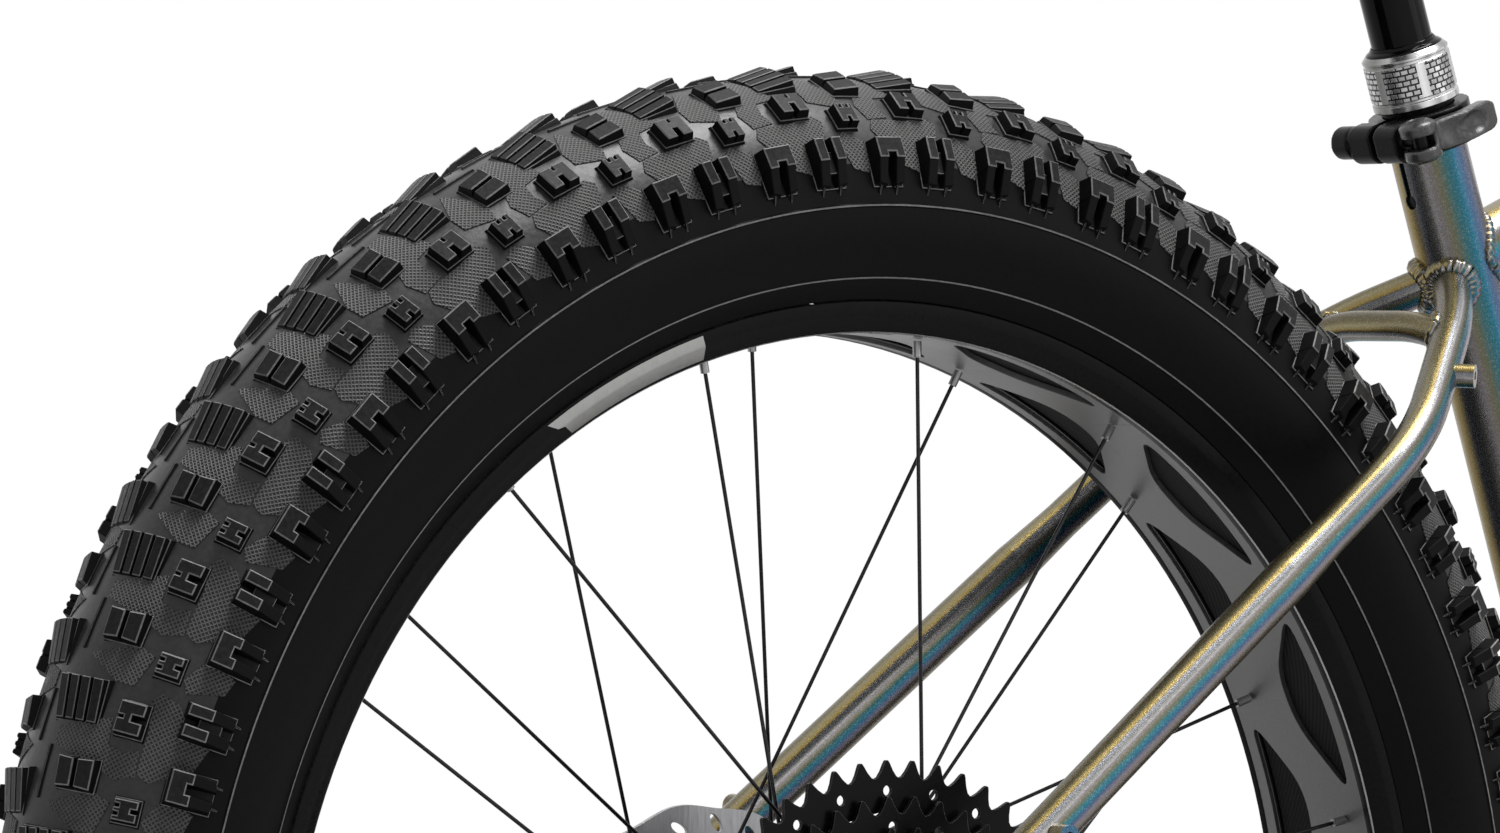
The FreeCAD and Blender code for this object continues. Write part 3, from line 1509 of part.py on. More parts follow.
spacer_start = upper_cup_end + fit_gap
stem_start = spacer_start + spacer_height + fit_gap
stem_end = stem_start + stem_height
steerer_end = stem_end - steerer_setback
stem_middle = stem_start + stem_height / 2
bar_x = stem_length
bar_z = stem_middle + stem_rise
leg_top = vec(0, leg_y, -crown_height / 2)
leg_axle = vec(fork_offset, leg_y, -fork_drop)
leg_run = unit(leg_axle - leg_top)
leg_foot = leg_axle - leg_run * leg_foot_rise


def make_fork():
    # a crown, a steerer and two legs, welded together
    crown_middle = vec(0, 0, -crown_height / 2)
    bridge_block = block(crown_middle, crown_depth, 2 * crown_half, crown_height)
    shoulders = [edge for edge in bridge_block.Edges if abs(edge.tangentAt(0).x) > 0.5]
    bridge_block = bridge_block.makeFillet(crown_edge, shoulders)
    steerer_foot = vec(0, 0, -crown_height)
    steerer_top = vec(0, 0, steerer_end)
    past = vec(0, 0, overrun)
    bridge_block = bridge_block.cut(rod(steerer_foot - past, past, steerer_radius + weld_gap))
    steerer = pipe(steerer_foot, steerer_top, steerer_radius, steerer_radius - steerer_wall)
    crown_fence = block(crown_middle, 2 * crown_depth, 4 * crown_half, crown_height + 2 * weld_gap)
    axle_place = vec(fork_offset, 0, -fork_drop)
    tip_start = hub_width_front / 2
    tip_end = tip_start + fork_tip_thickness
    tip = rod(axle_place + across * tip_start, axle_place + across * tip_end, fork_tip_radius)
    leg = fuse([cone(leg_top, leg_foot, leg_top_radius, leg_foot_radius), tip]).cut(crown_fence)
    leg = max(leg.Solids, key=lambda solid: solid.Volume)
    past = tip_end + overrun
    hole = rod(axle_place, axle_place + across * past, axle_radius_front + fit_gap)
    leg = leg.cut(hole)
    return [to_steer(solid) for solid in (bridge_block, steerer, leg, mirrored(leg))]


def make_stem():
    bar_middle = vec(bar_x, 0, bar_z)
    clamp = rod(vec(0, 0, stem_start), vec(0, 0, stem_end), stem_radius)
    neck = rod(vec(0, 0, stem_middle), bar_middle, stem_neck_radius)
    face = rod(bar_middle - across * stem_face_half, bar_middle + across * stem_face_half, stem_face_radius)
    whole = fuse([clamp, neck, face])
    past = vec(0, 0, overrun)
    whole = whole.cut(rod(vec(0, 0, stem_start) - past, vec(0, 0, stem_end) + past, steerer_radius + fit_gap))
    past = across * (stem_face_half + overrun)
    whole = whole.cut(rod(bar_middle - past, bar_middle + past, bar_clamp_radius + fit_gap))
    size = 4 * stem_face_radius
    front = block(bar_middle + vec(stem_split + size / 2, 0, 0), size, size, size)
    back = block(bar_middle + vec(stem_split - fit_gap - size, 0, 0), 2 * size, size, 2 * size)
    spacer = pipe(vec(0, 0, spacer_start), vec(0, 0, spacer_start + spacer_height), spacer_radius,
                  steerer_radius + fit_gap)
    cap_start = stem_end + fit_gap
    cap = rod(vec(0, 0, cap_start), vec(0, 0, cap_start + top_cap_height), spacer_radius)
    pieces = whole.common(back).Solids + whole.common(front).Solids + [spacer, cap]
    return [to_steer(piece) for piece in pieces]


bar_points = [vec(bar_x, bar_taper_end, bar_z), vec(bar_x, bar_bend_start, bar_z),
              vec(bar_x - bar_sweep * bar_bend_sweep_share, bar_bend_y, bar_z + bar_rise),
              vec(bar_x - bar_sweep, bar_end_y, bar_z + bar_rise)]


def make_bar():
    middle = vec(bar_x, 0, bar_z)
    solids = [rod(middle - across * bar_clamp_half, middle + across * bar_clamp_half, bar_clamp_radius)]
    cores = [rod(middle - across * bar_taper_end, middle + across * bar_taper_end, bar_radius - bar_wall)]
    taper = cone(middle + across * bar_clamp_half, bar_points[0], bar_clamp_radius, bar_radius)
    arm = bent_rod(bar_points, bar_radius)
    run = unit(bar_points[-1] - bar_points[-2])
    core = bent_rod(bar_points[:-1] + [bar_points[-1] + run * overrun], bar_radius - bar_wall)
    for shape in (taper, arm):
        solids += [shape, mirrored(shape)]
    cores += [core, mirrored(core)]
    whole = fuse(solids)
    for tool in cores:
        whole = whole.cut(tool)
    return to_steer(whole)


save("fork", make_fork())
save("stem", make_stem())
save("handlebar", make_bar())

# Grips and controls, in the left bar end's frame: X inward along the bar, Y forward
bar_end = on_steer(bar_points[-1].x, bar_points[-1].y, bar_points[-1].z)
bar_inner = on_steer(bar_points[-2].x, bar_points[-2].y, bar_points[-2].z)
bar_in = unit(bar_inner - bar_end)
bar_front = unit(head_front - bar_in * head_front.dot(bar_in))
bar_up = bar_in.cross(bar_front)


def to_bar(shape):
    return placed(shape, bar_end, bar_in, bar_front, bar_up)


def on_bar(x, y, z):
    return bar_end + bar_in * x + bar_front * y + bar_up * z


def bar_ring(start, end, outer):
    return pipe(vec(start, 0, 0), vec(end, 0, 0), outer, bar_radius + fit_gap)


def make_grip():
    flange_start = grip_length - grip_flange_length
    cap = rod(vec(-grip_end_gap - fit_gap, 0, 0), vec(-fit_gap, 0, 0), grip_radius)
    return fuse([bar_ring(-fit_gap, grip_length, grip_radius), cap,
                 bar_ring(flange_start, grip_length, grip_flange_radius)])


def make_brake_body():
    master_end = vec(master_start + master_length, master_offset, 0)
    clamp = bar_ring(lever_clamp_in - lever_clamp_half, lever_clamp_in + lever_clamp_half, lever_clamp_radius)
    neck = block(vec(lever_clamp_in, (lever_clamp_radius + master_offset - master_radius / 2) / 2, 0),
                 2 * lever_clamp_half, master_neck, 2 * brake_hub_half)
    solids = [clamp, neck, rod(vec(master_start, master_offset, 0), master_end, master_radius)]
    lug_z = brake_hub_half + brake_lug_gap + brake_lug_thickness / 2
    lug_x = brake_pin_in + brake_lug_thickness / 2
    for side in (-1, 1):
        solids.append(block(vec(lug_x, brake_pin_offset, side * lug_z), brake_lug_length, brake_lug_width,
                            brake_lug_thickness))
    pin = vec(brake_pin_in, brake_pin_offset, 0)
    solids.append(rod(pin - vec(0, 0, lug_z), pin + vec(0, 0, lug_z), brake_pin_radius))
    return fuse(solids)


def make_brake_lever():
    pin = vec(brake_pin_in, brake_pin_offset, 0)
    elbow = vec(brake_elbow_in, brake_elbow_offset, 0)
    tip = vec(brake_tip_in, brake_tip_offset, 0)
    half = vec(0, 0, brake_hub_half)
    blade_half = vec(0, 0, brake_blade_half)
    solids = [rod(pin - half, pin + half, brake_hub_radius),
              beam(pin, elbow, brake_arm_width, brake_hub_half),
              rod(elbow - half, elbow + half, brake_arm_width / 2),
              beam(elbow, tip, brake_blade_width, brake_blade_half),
              rod(tip - blade_half, tip + blade_half, brake_arm_width / 2)]
    return fuse(solids).cut(rod(pin - half * 2, pin + half * 2, brake_pin_radius + running_fit))


def make_control(length, width, height):
    # a small body under the bar, and the thumb paddle that turns below it
    middle = vec(control_clamp_in, 0, 0)
    top = -lever_clamp_radius + control_sink
    body_z = top - height / 2
    foot = top - height
    clamp = bar_ring(control_clamp_in - control_clamp_half, control_clamp_in + control_clamp_half,
                     lever_clamp_radius)
    paddle_top = foot - paddle_gap
    paddle_foot = paddle_top - paddle_thickness
    cap_top = paddle_foot - paddle_gap
    pin = rod(middle + vec(0, 0, foot + paddle_gap), middle + vec(0, 0, cap_top), paddle_pin_radius)
    cap = rod(middle + vec(0, 0, cap_top), middle + vec(0, 0, cap_top - paddle_cap_height), paddle_cap_radius)
    body = fuse([clamp, block(middle + vec(0, 0, body_z), length, width, height), pin, cap])
    tip = vec(-paddle_lean, -paddle_reach, 0)
    half = vec(0, 0, paddle_thickness / 2)
    paddle = fuse([rod(-half, half, paddle_hub_radius), beam(vec(0, 0, 0), tip, paddle_width, half.z),
                   rod(tip - half, tip + half, paddle_pad_radius)])
    paddle = paddle.cut(rod(half * -2, half * 2, paddle_pin_radius + running_fit))
    paddle.translate(middle + vec(0, 0, paddle_top) - half)
    return to_bar(body), to_bar(paddle)


grip = to_bar(make_grip())
brake_body = to_bar(make_brake_body())
brake_lever = to_bar(make_brake_lever())
shifter, shift_paddle = make_control(shifter_length, shifter_width, shifter_height)
remote, remote_paddle = make_control(remote_length, remote_width, remote_height)
save("grips", [grip, mirrored(grip)])
save("bar_controls", [brake_body, mirrored(brake_body), mirrored(shifter), remote])
save("brake_lever_left", brake_lever)
save("brake_lever_right", mirrored(brake_lever))
save("shift_lever", mirrored(shift_paddle))
save("dropper_remote_lever", remote_paddle)
print("left brake pin", on_bar(brake_pin_in, brake_pin_offset, 0), "axis", bar_up)
print("left paddle pin", on_bar(control_clamp_in, 0, 0))


# Brake calipers
def caliper_frame(centre, rotor_y, angle):
    turn = math.radians(angle)
    outward = vec(math.cos(turn), 0, math.sin(turn))
    return centre + across * rotor_y, outward, across, outward.cross(across)


def caliper_gap():
    # the room that the rotor turns in
    return block(vec(slot_reach - caliper_length / 2, 0, 0), caliper_length, caliper_slot,
                 caliper_length + overrun)


def make_caliper():
    # X away from the axle, Z round it
    body = block(vec(caliper_reach, 0, 0), caliper_height, caliper_width, caliper_length)
    edges = [edge for edge in body.Edges if abs(edge.tangentAt(0).y) > 0.5]
    body = body.makeFillet(caliper_corner, edges)
    body = body.cut(caliper_gap())
    pad_start = rotor_thickness / 2 + pad_clearance
    pads = [block(vec(caliper_reach, side * (pad_start + pad_thickness / 2), 0), pad_height, pad_thickness,
                  pad_length) for side in (-1, 1)]
    return body, pads


caliper, pads = make_caliper()
rear_place = caliper_frame(rear_axle, rotor_y_rear, caliper_angle_rear)
front_place = caliper_frame(front_axle, rotor_y_front, caliper_angle_front)
mount_plate = block(rear_axle + vec(mount_plate_x, mount_plate_y, mount_plate_z), mount_plate_length,
                    mount_plate_width, mount_plate_height)
rear_caliper = fuse([placed(caliper, *rear_place), mount_plate]).cut(placed(caliper_gap(), *rear_place))
save("rear_brake_caliper", [rear_caliper] + [placed(pad, *rear_place) for pad in pads])

front_body = placed(caliper, *front_place)
feet = []
for side, place in zip((-1, 1), leg_foot_places):
    origin, outward, along, around = front_place
    start = origin + outward * caliper_reach + along * caliper_foot_y + around * (side * caliper_foot_spread)
    end = leg_axle - leg_run * place
    feet.append(rod(start, on_steer(end.x, end.y, end.z), caliper_foot_radius))
leg_fence = to_steer(cone(leg_top, leg_axle, leg_top_radius + fit_gap, leg_foot_radius + fit_gap))
front_body = fuse([front_body] + feet).cut(leg_fence)
front_body = max(front_body.Solids, key=lambda solid: solid.Volume)
save("front_brake_caliper", [front_body] + [placed(pad, *front_place) for pad in pads])


# Hoses and housings
def banjo(place):
    # where a hose leaves a caliper
    origin, outward, along, around = place
    return origin + outward * (caliper_reach + caliper_height / 2 + fit_gap) + along * banjo_y


def steer_way(points):
    return [on_steer(*point) for point in points]


rear_way = [banjo(rear_place)] + [rear_axle + vec(*point) for point in rear_hose_way]
save("rear_brake_hose", hose("rear brake hose", rear_way, hose_radius))
housing_way = [rear_axle + vec(*point) for point in shift_housing_way]
save("shift_housing", hose("rear shift housing", housing_way, housing_radius))

master_end = master_start + master_length + fit_gap
left_master = on_bar(master_end, master_offset, 0)
right_master = vec(left_master.x, -left_master.y, left_master.z)
shift_exit = on_bar(control_clamp_in + shifter_length / 2 + fit_gap, shift_exit_y, -shift_exit_drop)
shift_exit = vec(shift_exit.x, -shift_exit.y, shift_exit.z)
remote_exit = on_bar(control_clamp_in + remote_length / 2 + fit_gap, remote_exit_y, -remote_exit_drop)
front_way = [left_master] + steer_way(front_hose_way) + [banjo(front_place)]
bar_hoses = [hose("front brake hose", front_way, hose_radius),
             hose("rear brake hose at the bar", [right_master] + steer_way(back_hose_way), hose_radius),
             hose("shift housing at the bar", [shift_exit] + steer_way(shift_way), housing_radius),
             hose("dropper housing", [remote_exit] + steer_way(remote_way), housing_radius)]
save("bar_hoses", bar_hoses)
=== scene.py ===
import json
import math
import bmesh
import bpy
from mathutils import Matrix, Vector


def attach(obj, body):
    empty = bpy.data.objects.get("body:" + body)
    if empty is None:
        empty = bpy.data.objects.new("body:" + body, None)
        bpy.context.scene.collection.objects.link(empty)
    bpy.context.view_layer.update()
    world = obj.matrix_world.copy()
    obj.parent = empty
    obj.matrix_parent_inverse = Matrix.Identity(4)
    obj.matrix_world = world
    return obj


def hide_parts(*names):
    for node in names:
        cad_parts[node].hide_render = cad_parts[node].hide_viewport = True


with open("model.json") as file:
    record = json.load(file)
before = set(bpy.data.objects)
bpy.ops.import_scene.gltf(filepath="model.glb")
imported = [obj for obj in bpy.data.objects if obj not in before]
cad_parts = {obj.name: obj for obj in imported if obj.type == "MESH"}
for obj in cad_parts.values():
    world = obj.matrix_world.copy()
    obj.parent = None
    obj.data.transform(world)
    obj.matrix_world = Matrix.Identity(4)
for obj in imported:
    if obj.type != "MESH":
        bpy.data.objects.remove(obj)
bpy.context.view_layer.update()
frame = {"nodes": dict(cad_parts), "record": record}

nodes = frame["nodes"]
scene = bpy.context.scene
mm = 0.001
fullTurn = 2 * math.pi
# main points and directions of the bicycle, in millimetres
rearAxle = Vector((-573.937, 0.0, 381.0))
frontAxle = Vector((573.937, 0.0, 381.0))
bracket = Vector((-111.816, 0.0, 321.0))
seatTop = Vector((-246.503, 0.0, 743.029))
headTop = Vector((308.184, 0.0, 931.0))
seatUp = Vector((-0.304033, 0.0, 0.952661))
seatFront = Vector((0.952661, 0.0, 0.304033))
headUp = Vector((-0.358368, 0.0, 0.933580))
acrossBike = Vector((0.0, 1.0, 0.0))
print("frame loaded", len(nodes), "nodes")

# camera, fitted to the rim, the tyre and the largest sprocket in the picture
cameraSpec = {"place": (-2.35884, -2.42410, 0.68880), "yaw": 0.6273, "pitch": 0.0225,
              "roll": -0.0088, "lens": 179.79}


def makeCamera(spec):
    yaw = spec["yaw"]
    pitch = spec["pitch"]
    look = Vector((math.sin(yaw) * math.cos(pitch), math.cos(yaw) * math.cos(pitch), -math.sin(pitch)))
    side = look.cross(Vector((0, 0, 1))).normalized()
    top = side.cross(look)
    c = math.cos(spec["roll"])
    s = math.sin(spec["roll"])
    side, top = c * side + s * top, c * top - s * side
    data = bpy.data.cameras.new("photoCamera")
    data.sensor_width = 36.0
    data.sensor_fit = "HORIZONTAL"
    data.lens = spec["lens"]
    data.clip_end = 60.0
    camera = bpy.data.objects.new("photoCamera", data)
    scene.collection.objects.link(camera)
    turn = Matrix((side, top, -look)).transposed().to_4x4()
    camera.matrix_world = Matrix.Translation(spec["place"]) @ turn
    scene.camera = camera


makeCamera(cameraSpec)

# small tools for shader trees


def feed(tree, socket, value):
    # a socket takes another socket, a colour or a number
    if isinstance(value, bpy.types.NodeSocket):
        tree.links.new(value, socket)
    elif socket.type == "RGBA" and len(value) == 3:
        socket.default_value = (*value, 1.0)
    else:
        socket.default_value = value


def addNode(tree, kind, **values):
    # a small first letter names a setting, a capital one an input
    node = tree.nodes.new("ShaderNode" + kind)
    for key, value in values.items():
        if key[0].islower():
            setattr(node, key, value)
        else:
            setInputs(tree, node.inputs, **{key: value})
    return node


def setInputs(tree, inputs, **values):
    for key, value in values.items():
        feed(tree, inputs[key.replace("_", " ")], value)


def operate(tree, kind, operation, values):
    node = addNode(tree, kind, operation=operation)
    for socket, value in zip(node.inputs, values):
        feed(tree, socket, value)
    return node.outputs


def math2(tree, operation, *values):
    return operate(tree, "Math", operation, values)[0]


def vector2(tree, operation, *values):
    result = "Value" if operation in ("DOT_PRODUCT", "LENGTH") else "Vector"
    return operate(tree, "VectorMath", operation, values)[result]


def rampOf(tree, value, stops):
    ramp = addNode(tree, "ValToRGB")
    while len(ramp.color_ramp.elements) < len(stops):
        ramp.color_ramp.elements.new(0.5)
    for element, (place, colour) in zip(ramp.color_ramp.elements, stops):
        element.position = place
        element.color = (*grey(colour), 1.0)
    feed(tree, ramp.inputs["Fac"], value)
    return ramp.outputs["Color"]


def mixColour(tree, mask, first, second, blend="MIX"):
    node = addNode(tree, "Mix", data_type="RGBA", blend_type=blend)
    for number, value in ((0, mask), (6, first), (7, second)):
        feed(tree, node.inputs[number], value)
    return node.outputs[2]


def grey(value):
    return value if isinstance(value, tuple) else (value, value, value)


def whiteRays(tree):
    # one where the background itself is seen, straight or in a reflection
    path = addNode(tree, "LightPath").outputs
    seen = math2(tree, "MAXIMUM", path["Is Camera Ray"], path["Is Glossy Ray"])
    return math2(tree, "MAXIMUM", seen, path["Is Transmission Ray"])


def mixShaders(tree, mask, first, second, output):
    mix = addNode(tree, "MixShader", Fac=mask)
    feed(tree, mix.inputs[1], first.outputs[0])
    feed(tree, mix.inputs[2], second.outputs[0])
    feed(tree, tree.nodes[output].inputs["Surface"], mix.outputs[0])


# soft studio light, white surroundings
scene.view_settings.view_transform = "Standard"
lampAim = Vector((-0.2, 0.0, 0.55))
lampSpecs = {
    "overheadLamp": {"place": (0.5, -0.3, 4.2), "power": 185.0, "size": 2.0},
    "keyLamp": {"place": (0.0, -3.6, 3.0), "power": 10.0, "size": 1.8},
    "fillLamp": {"place": (2.4, -3.6, 1.6), "power": 14.0, "size": 2.2},
}
worldSpec = {"roomLight": 0.075, "roomColour": (0.97, 0.98, 1.0)}


def makeLamps(specs):
    for name, spec in specs.items():
        data = bpy.data.lights.new(name, "AREA")
        data.energy = spec["power"]
        data.size = spec["size"]
        lamp = bpy.data.objects.new(name, data)
        scene.collection.objects.link(lamp)
        lamp.location = spec["place"]
        lamp.rotation_euler = (lampAim - lamp.location).to_track_quat("-Z", "Y").to_euler()


def makeWorld(spec):
    world = bpy.data.worlds.new("studioWhite")
    scene.world = world
    world.use_nodes = True
    tree = world.node_tree
    room = tree.nodes["Background"]
    setInputs(tree, room.inputs, Color=spec["roomColour"], Strength=spec["roomLight"])
    white = addNode(tree, "Background", Color=grey(1.0))
    mixShaders(tree, whiteRays(tree), room, white, "World Output")


makeLamps(lampSpecs)
makeWorld(worldSpec)

# effects that several materials share


def newGroup(name, inputs, outputs, fill):
    group = bpy.data.node_groups.new(name, "ShaderNodeTree")
    for label, kind, value in inputs:
        socket = group.interface.new_socket(label, in_out="INPUT", socket_type="NodeSocket" + kind)
        socket.default_value = value
    for label, kind in outputs:
        group.interface.new_socket(label, in_out="OUTPUT", socket_type="NodeSocket" + kind)
    given = group.nodes.new("NodeGroupInput").outputs
    result = group.nodes.new("NodeGroupOutput").inputs
    for label, value in fill(group, given).items():
        feed(group, result[label], value)
    return group


def fillGrain(group, given):
    coord = addNode(group, "TexCoord").outputs["Object"]
    small = addNode(group, "TexNoise", Detail=3.0, Vector=coord, Scale=given["Scale"]).outputs["Fac"]
    broad = addNode(group, "TexNoise", Detail=4.0, Vector=coord, Scale=14.0).outputs["Fac"]
    total = math2(group, "MULTIPLY", math2(group, "ADD", small, broad), 0.5)
    spread = addNode(group, "MapRange", From_Min=0.36, From_Max=0.64, Value=total).outputs["Result"]
    rough = addNode(group, "MapRange", Value=spread, To_Min=given["Rough Low"],
                    To_Max=given["Rough High"])
    return {"Colour": mixColour(group, spread, given["Dark"], given["Light"]),
            "Roughness": rough.outputs["Result"], "Height": small}


def fillWearAndHighlight(group, given):
    soft = addNode(group, "Bevel", samples=4, Radius=given["Radius"]).outputs["Normal"]
    sharp = addNode(group, "NewGeometry").outputs["Normal"]
    bent = math2(group, "SUBTRACT", 1.0, vector2(group, "DOT_PRODUCT", soft, sharp))
    coord = addNode(group, "TexCoord").outputs["Object"]
    patch = addNode(group, "TexNoise", Scale=120.0, Vector=coord).outputs["Fac"]
    strong = math2(group, "MULTIPLY", math2(group, "MULTIPLY", bent, given["Amount"]), patch)
    strong.node.use_clamp = True
    return {"Mask": strong, "Normal": soft}


def fillDust(group, given):
    normal = addNode(group, "NewGeometry").outputs["Normal"]
    split = addNode(group, "SeparateXYZ", Vector=normal)
    coord = addNode(group, "TexCoord").outputs["Object"]
    patch = addNode(group, "TexNoise", Scale=60.0, Detail=6.0, Vector=coord).outputs["Fac"]
    up = addNode(group, "MapRange", From_Min=0.2, Value=split.outputs["Z"]).outputs["Result"]
    return {"Mask": math2(group, "MULTIPLY", math2(group, "MULTIPLY", up, patch), given["Amount"])}


# fine grain: colour and roughness that wander a little, and a height for bumps
grainGroup = newGroup("fineGrain", (("Scale", "Float", 300.0), ("Dark", "Color", (0, 0, 0, 1)),
                                    ("Light", "Color", (1, 1, 1, 1)), ("Rough Low", "Float", 0.4),
                                    ("Rough High", "Float", 0.6)),
                      (("Colour", "Color"), ("Roughness", "Float"), ("Height", "Float")), fillGrain)
# edge wear and painted edge highlight: rounds sharp edges a little in the shading and paints edges lighter,
# partly where paint rubs off and partly as a painted highlight
wearAndHighlightGroup = newGroup("edgeWearAndHighlight", (("Radius", "Float", 0.0006), ("Amount", "Float", 4.0)),
                     (("Mask", "Float"), ("Normal", "Vector")), fillWearAndHighlight)
# dust that settles on faces turned up
dustGroup = newGroup("settledDust", (("Amount", "Float", 0.3),), (("Mask", "Float"),), fillDust)


def placeGroup(tree, group, **values):
    return addNode(tree, "Group", node_tree=group, **values).outputs


def startMaterial(name, colour, roughness, metallic=0.0, **sockets):
    material = bpy.data.materials.new(name)
    material.use_nodes = True
    tree = material.node_tree
    shader = tree.nodes["Principled BSDF"].inputs
    setInputs(tree, shader, Base_Color=grey(colour), Roughness=roughness, Metallic=metallic, **sockets)
    return material, tree, shader


def addBump(tree, shader, height, strength, distance, normal=None):
    bump = addNode(tree, "Bump", Strength=strength, Distance=distance, Height=height)
    if normal is not None:
        feed(tree, bump.inputs["Normal"], normal)
    feed(tree, shader["Normal"], bump.outputs["Normal"])


def softNormal(tree, radius):
    return placeGroup(tree, wearAndHighlightGroup, Radius=radius, Amount=0.0)["Normal"]


def objectPlace(tree):
    return addNode(tree, "TexCoord").outputs["Object"]


def faceNormal(tree):
    return addNode(tree, "NewGeometry").outputs["Normal"]


def grainyMaterial(name, dark, light, rough, metallic=0.0, scale=400.0, bump=0.0003, wearAndHighlight=0.0, wornAndHighlightTone=0.30,
                   edge=0.0, dust=0.0, gloss=0.5):
    # paint, plastic, rubber and plain metal share this build with their own values
    material, tree, shader = startMaterial(name, light, rough[1], metallic, Specular_IOR_Level=gloss)
    grain = placeGroup(tree, grainGroup, Scale=scale, Dark=grey(dark), Light=grey(light), Rough_Low=rough[0],
                       Rough_High=rough[1])
    colour = grain["Colour"]
    normal = None
    if edge > 0.0:
        rubbedAndHighlighted = placeGroup(tree, wearAndHighlightGroup, Radius=edge, Amount=wearAndHighlight)
        normal = rubbedAndHighlighted["Normal"]
        if wearAndHighlight > 0.0:
            # edges are painted lighter, partly as wear and partly as a painted highlight
            colour = mixColour(tree, rubbedAndHighlighted["Mask"], colour, grey(wornAndHighlightTone))
    if dust > 0.0:
        settled = placeGroup(tree, dustGroup, Amount=dust)
        colour = mixColour(tree, settled["Mask"], colour, (0.42, 0.40, 0.37))
    setInputs(tree, shader, Base_Color=colour, Roughness=grain["Roughness"])
    addBump(tree, shader, grain["Height"], 0.35, bump, normal)
    return material


# flake paint with painted reflections: where each tint of painted reflection and painted highlight lies as
# the tube's skin turns away from the slant
paintSpec = {"slant": (0.648, -0.470, -0.600), "fold": 0.3, "start": 0.435, "drift": 0.08, "jitter": 0.03,
             "flakes": 2400.0, "glint": 0.14, "bands": (
                 (0.00, (0.060, 0.048, 0.024)), (0.07, (0.120, 0.095, 0.036)), (0.14, (0.270, 0.235, 0.130)),
                 (0.24, (0.250, 0.175, 0.035)), (0.29, (0.085, 0.066, 0.030)), (0.33, (0.140, 0.150, 0.180)),
                 (0.39, (0.200, 0.200, 0.190)), (0.44, (0.380, 0.370, 0.360)), (0.48, (0.200, 0.180, 0.190)),
                 (0.56, (0.135, 0.130, 0.070)), (0.63, (0.030, 0.125, 0.140)), (0.70, (0.002, 0.120, 0.180)),
                 (0.76, (0.060, 0.110, 0.220)), (0.83, (0.270, 0.235, 0.255)), (0.91, (0.200, 0.170, 0.135)),
                 (1.00, (0.130, 0.100, 0.050)))}


def paintedFrame(spec):
    # bright metal under a flake coat, with painted reflection and painted highlight bands round each tube,
    # set by which way its skin faces
    material, tree, shader = startMaterial("flakePaintPaintedReflections", (0.3, 0.28, 0.25), 0.30, 0.78, Coat_Weight=0.10,
                                           Coat_Roughness=0.05, Coat_IOR=1.5)
    coord = objectPlace(tree)
    facing = addNode(tree, "SeparateXYZ", Vector=faceNormal(tree)).outputs
    # folded over, so that the far side runs through the same bands
    off = math2(tree, "ABSOLUTE", math2(tree, "SUBTRACT", facing["Y"], spec["fold"]))
    folded = addNode(tree, "CombineXYZ", X=facing["X"], Z=facing["Z"],
                     Y=math2(tree, "SUBTRACT", spec["fold"], off))
    slant = vector2(tree, "DOT_PRODUCT", folded.outputs[0], spec["slant"])
    drift = addNode(tree, "TexNoise", Scale=9.0, Detail=2.0, Vector=coord).outputs["Fac"]
    flake = addNode(tree, "TexVoronoi", Scale=spec["flakes"], Vector=coord).outputs
    tone = addNode(tree, "SeparateColor", Color=flake["Color"]).outputs
    phase = spec["start"]
    for part, share in ((slant, 0.5), (drift, spec["drift"]), (tone["Red"], spec["jitter"])):
        phase = math2(tree, "ADD", phase, math2(tree, "MULTIPLY", part, share))
    # painted reflection and painted highlight bands: the pale band stands in for a lamp's streak
    bands = rampOf(tree, phase, spec["bands"])
    glint = math2(tree, "MULTIPLY", math2(tree, "POWER", tone["Green"], 6.0), spec["glint"])
    rough = math2(tree, "ADD", math2(tree, "MULTIPLY", tone["Blue"], 0.14), 0.20)
    setInputs(tree, shader, Base_Color=mixColour(tree, glint, bands, (0.80, 0.82, 0.86)), Roughness=rough)
    addBump(tree, shader, flake["Distance"], 0.15, 0.0002, softNormal(tree, 0.0006))
    return material


def hatchedRubberPaintedHighlights():
    # moulded crosshatch with painted highlights on its lines, from the tyre's own map in centimetres
    material, tree, shader = startMaterial("hatchedRubberPaintedHighlights", 0.05, 0.6, Specular_IOR_Level=0.15)
    uv = addNode(tree, "UVMap", uv_map="tyreMap").outputs[0]
    split = addNode(tree, "SeparateXYZ", Vector=uv).outputs
    hatchPitch = 0.21
    lines = []
    for sign in (1.0, -1.0):
        run = math2(tree, "ADD", split["X"], math2(tree, "MULTIPLY", split["Y"], sign))
        wave = math2(tree, "SINE", math2(tree, "MULTIPLY", run, math.pi / hatchPitch))
        lines.append(math2(tree, "ABSOLUTE", wave))
    grain = placeGroup(tree, grainGroup, Scale=160.0, Dark=grey(0.016), Light=(0.034, 0.034, 0.033),
                       Rough_Low=0.42, Rough_High=0.58)
    mask = math2(tree, "SUBTRACT", 1.0, math2(tree, "MINIMUM", lines[0], lines[1]))
    # the crosshatch lines are painted pale grey as a highlight; the same mask bumps them
    colour = mixColour(tree, math2(tree, "MULTIPLY", mask, 0.85), grain["Colour"], (0.28, 0.28, 0.273))
    setInputs(tree, shader, Base_Color=colour, Roughness=grain["Roughness"])
    addBump(tree, shader, mask, 0.9, 0.0005)
    return material


def spokeFinish(name, axle):
    # black wire, with paler nipples at the rim
    material, tree, shader = startMaterial(name, 0.02, 0.3, 0.9)
    nippleStart = 0.2662
    away = vector2(tree, "SUBTRACT", objectPlace(tree), axle * mm)
    reach = vector2(tree, "LENGTH", vector2(tree, "MULTIPLY", away, (1.0, 0.0, 1.0)))
    nipple = math2(tree, "GREATER_THAN", reach, nippleStart)
    grain = placeGroup(tree, grainGroup, Scale=900.0, Dark=(0.015, 0.015, 0.016),
                       Light=(0.035, 0.035, 0.036), Rough_Low=0.28, Rough_High=0.42)
    setInputs(tree, shader, Base_Color=mixColour(tree, nipple, grain["Colour"], grey(0.34)),
              Roughness=grain["Roughness"])
    return material


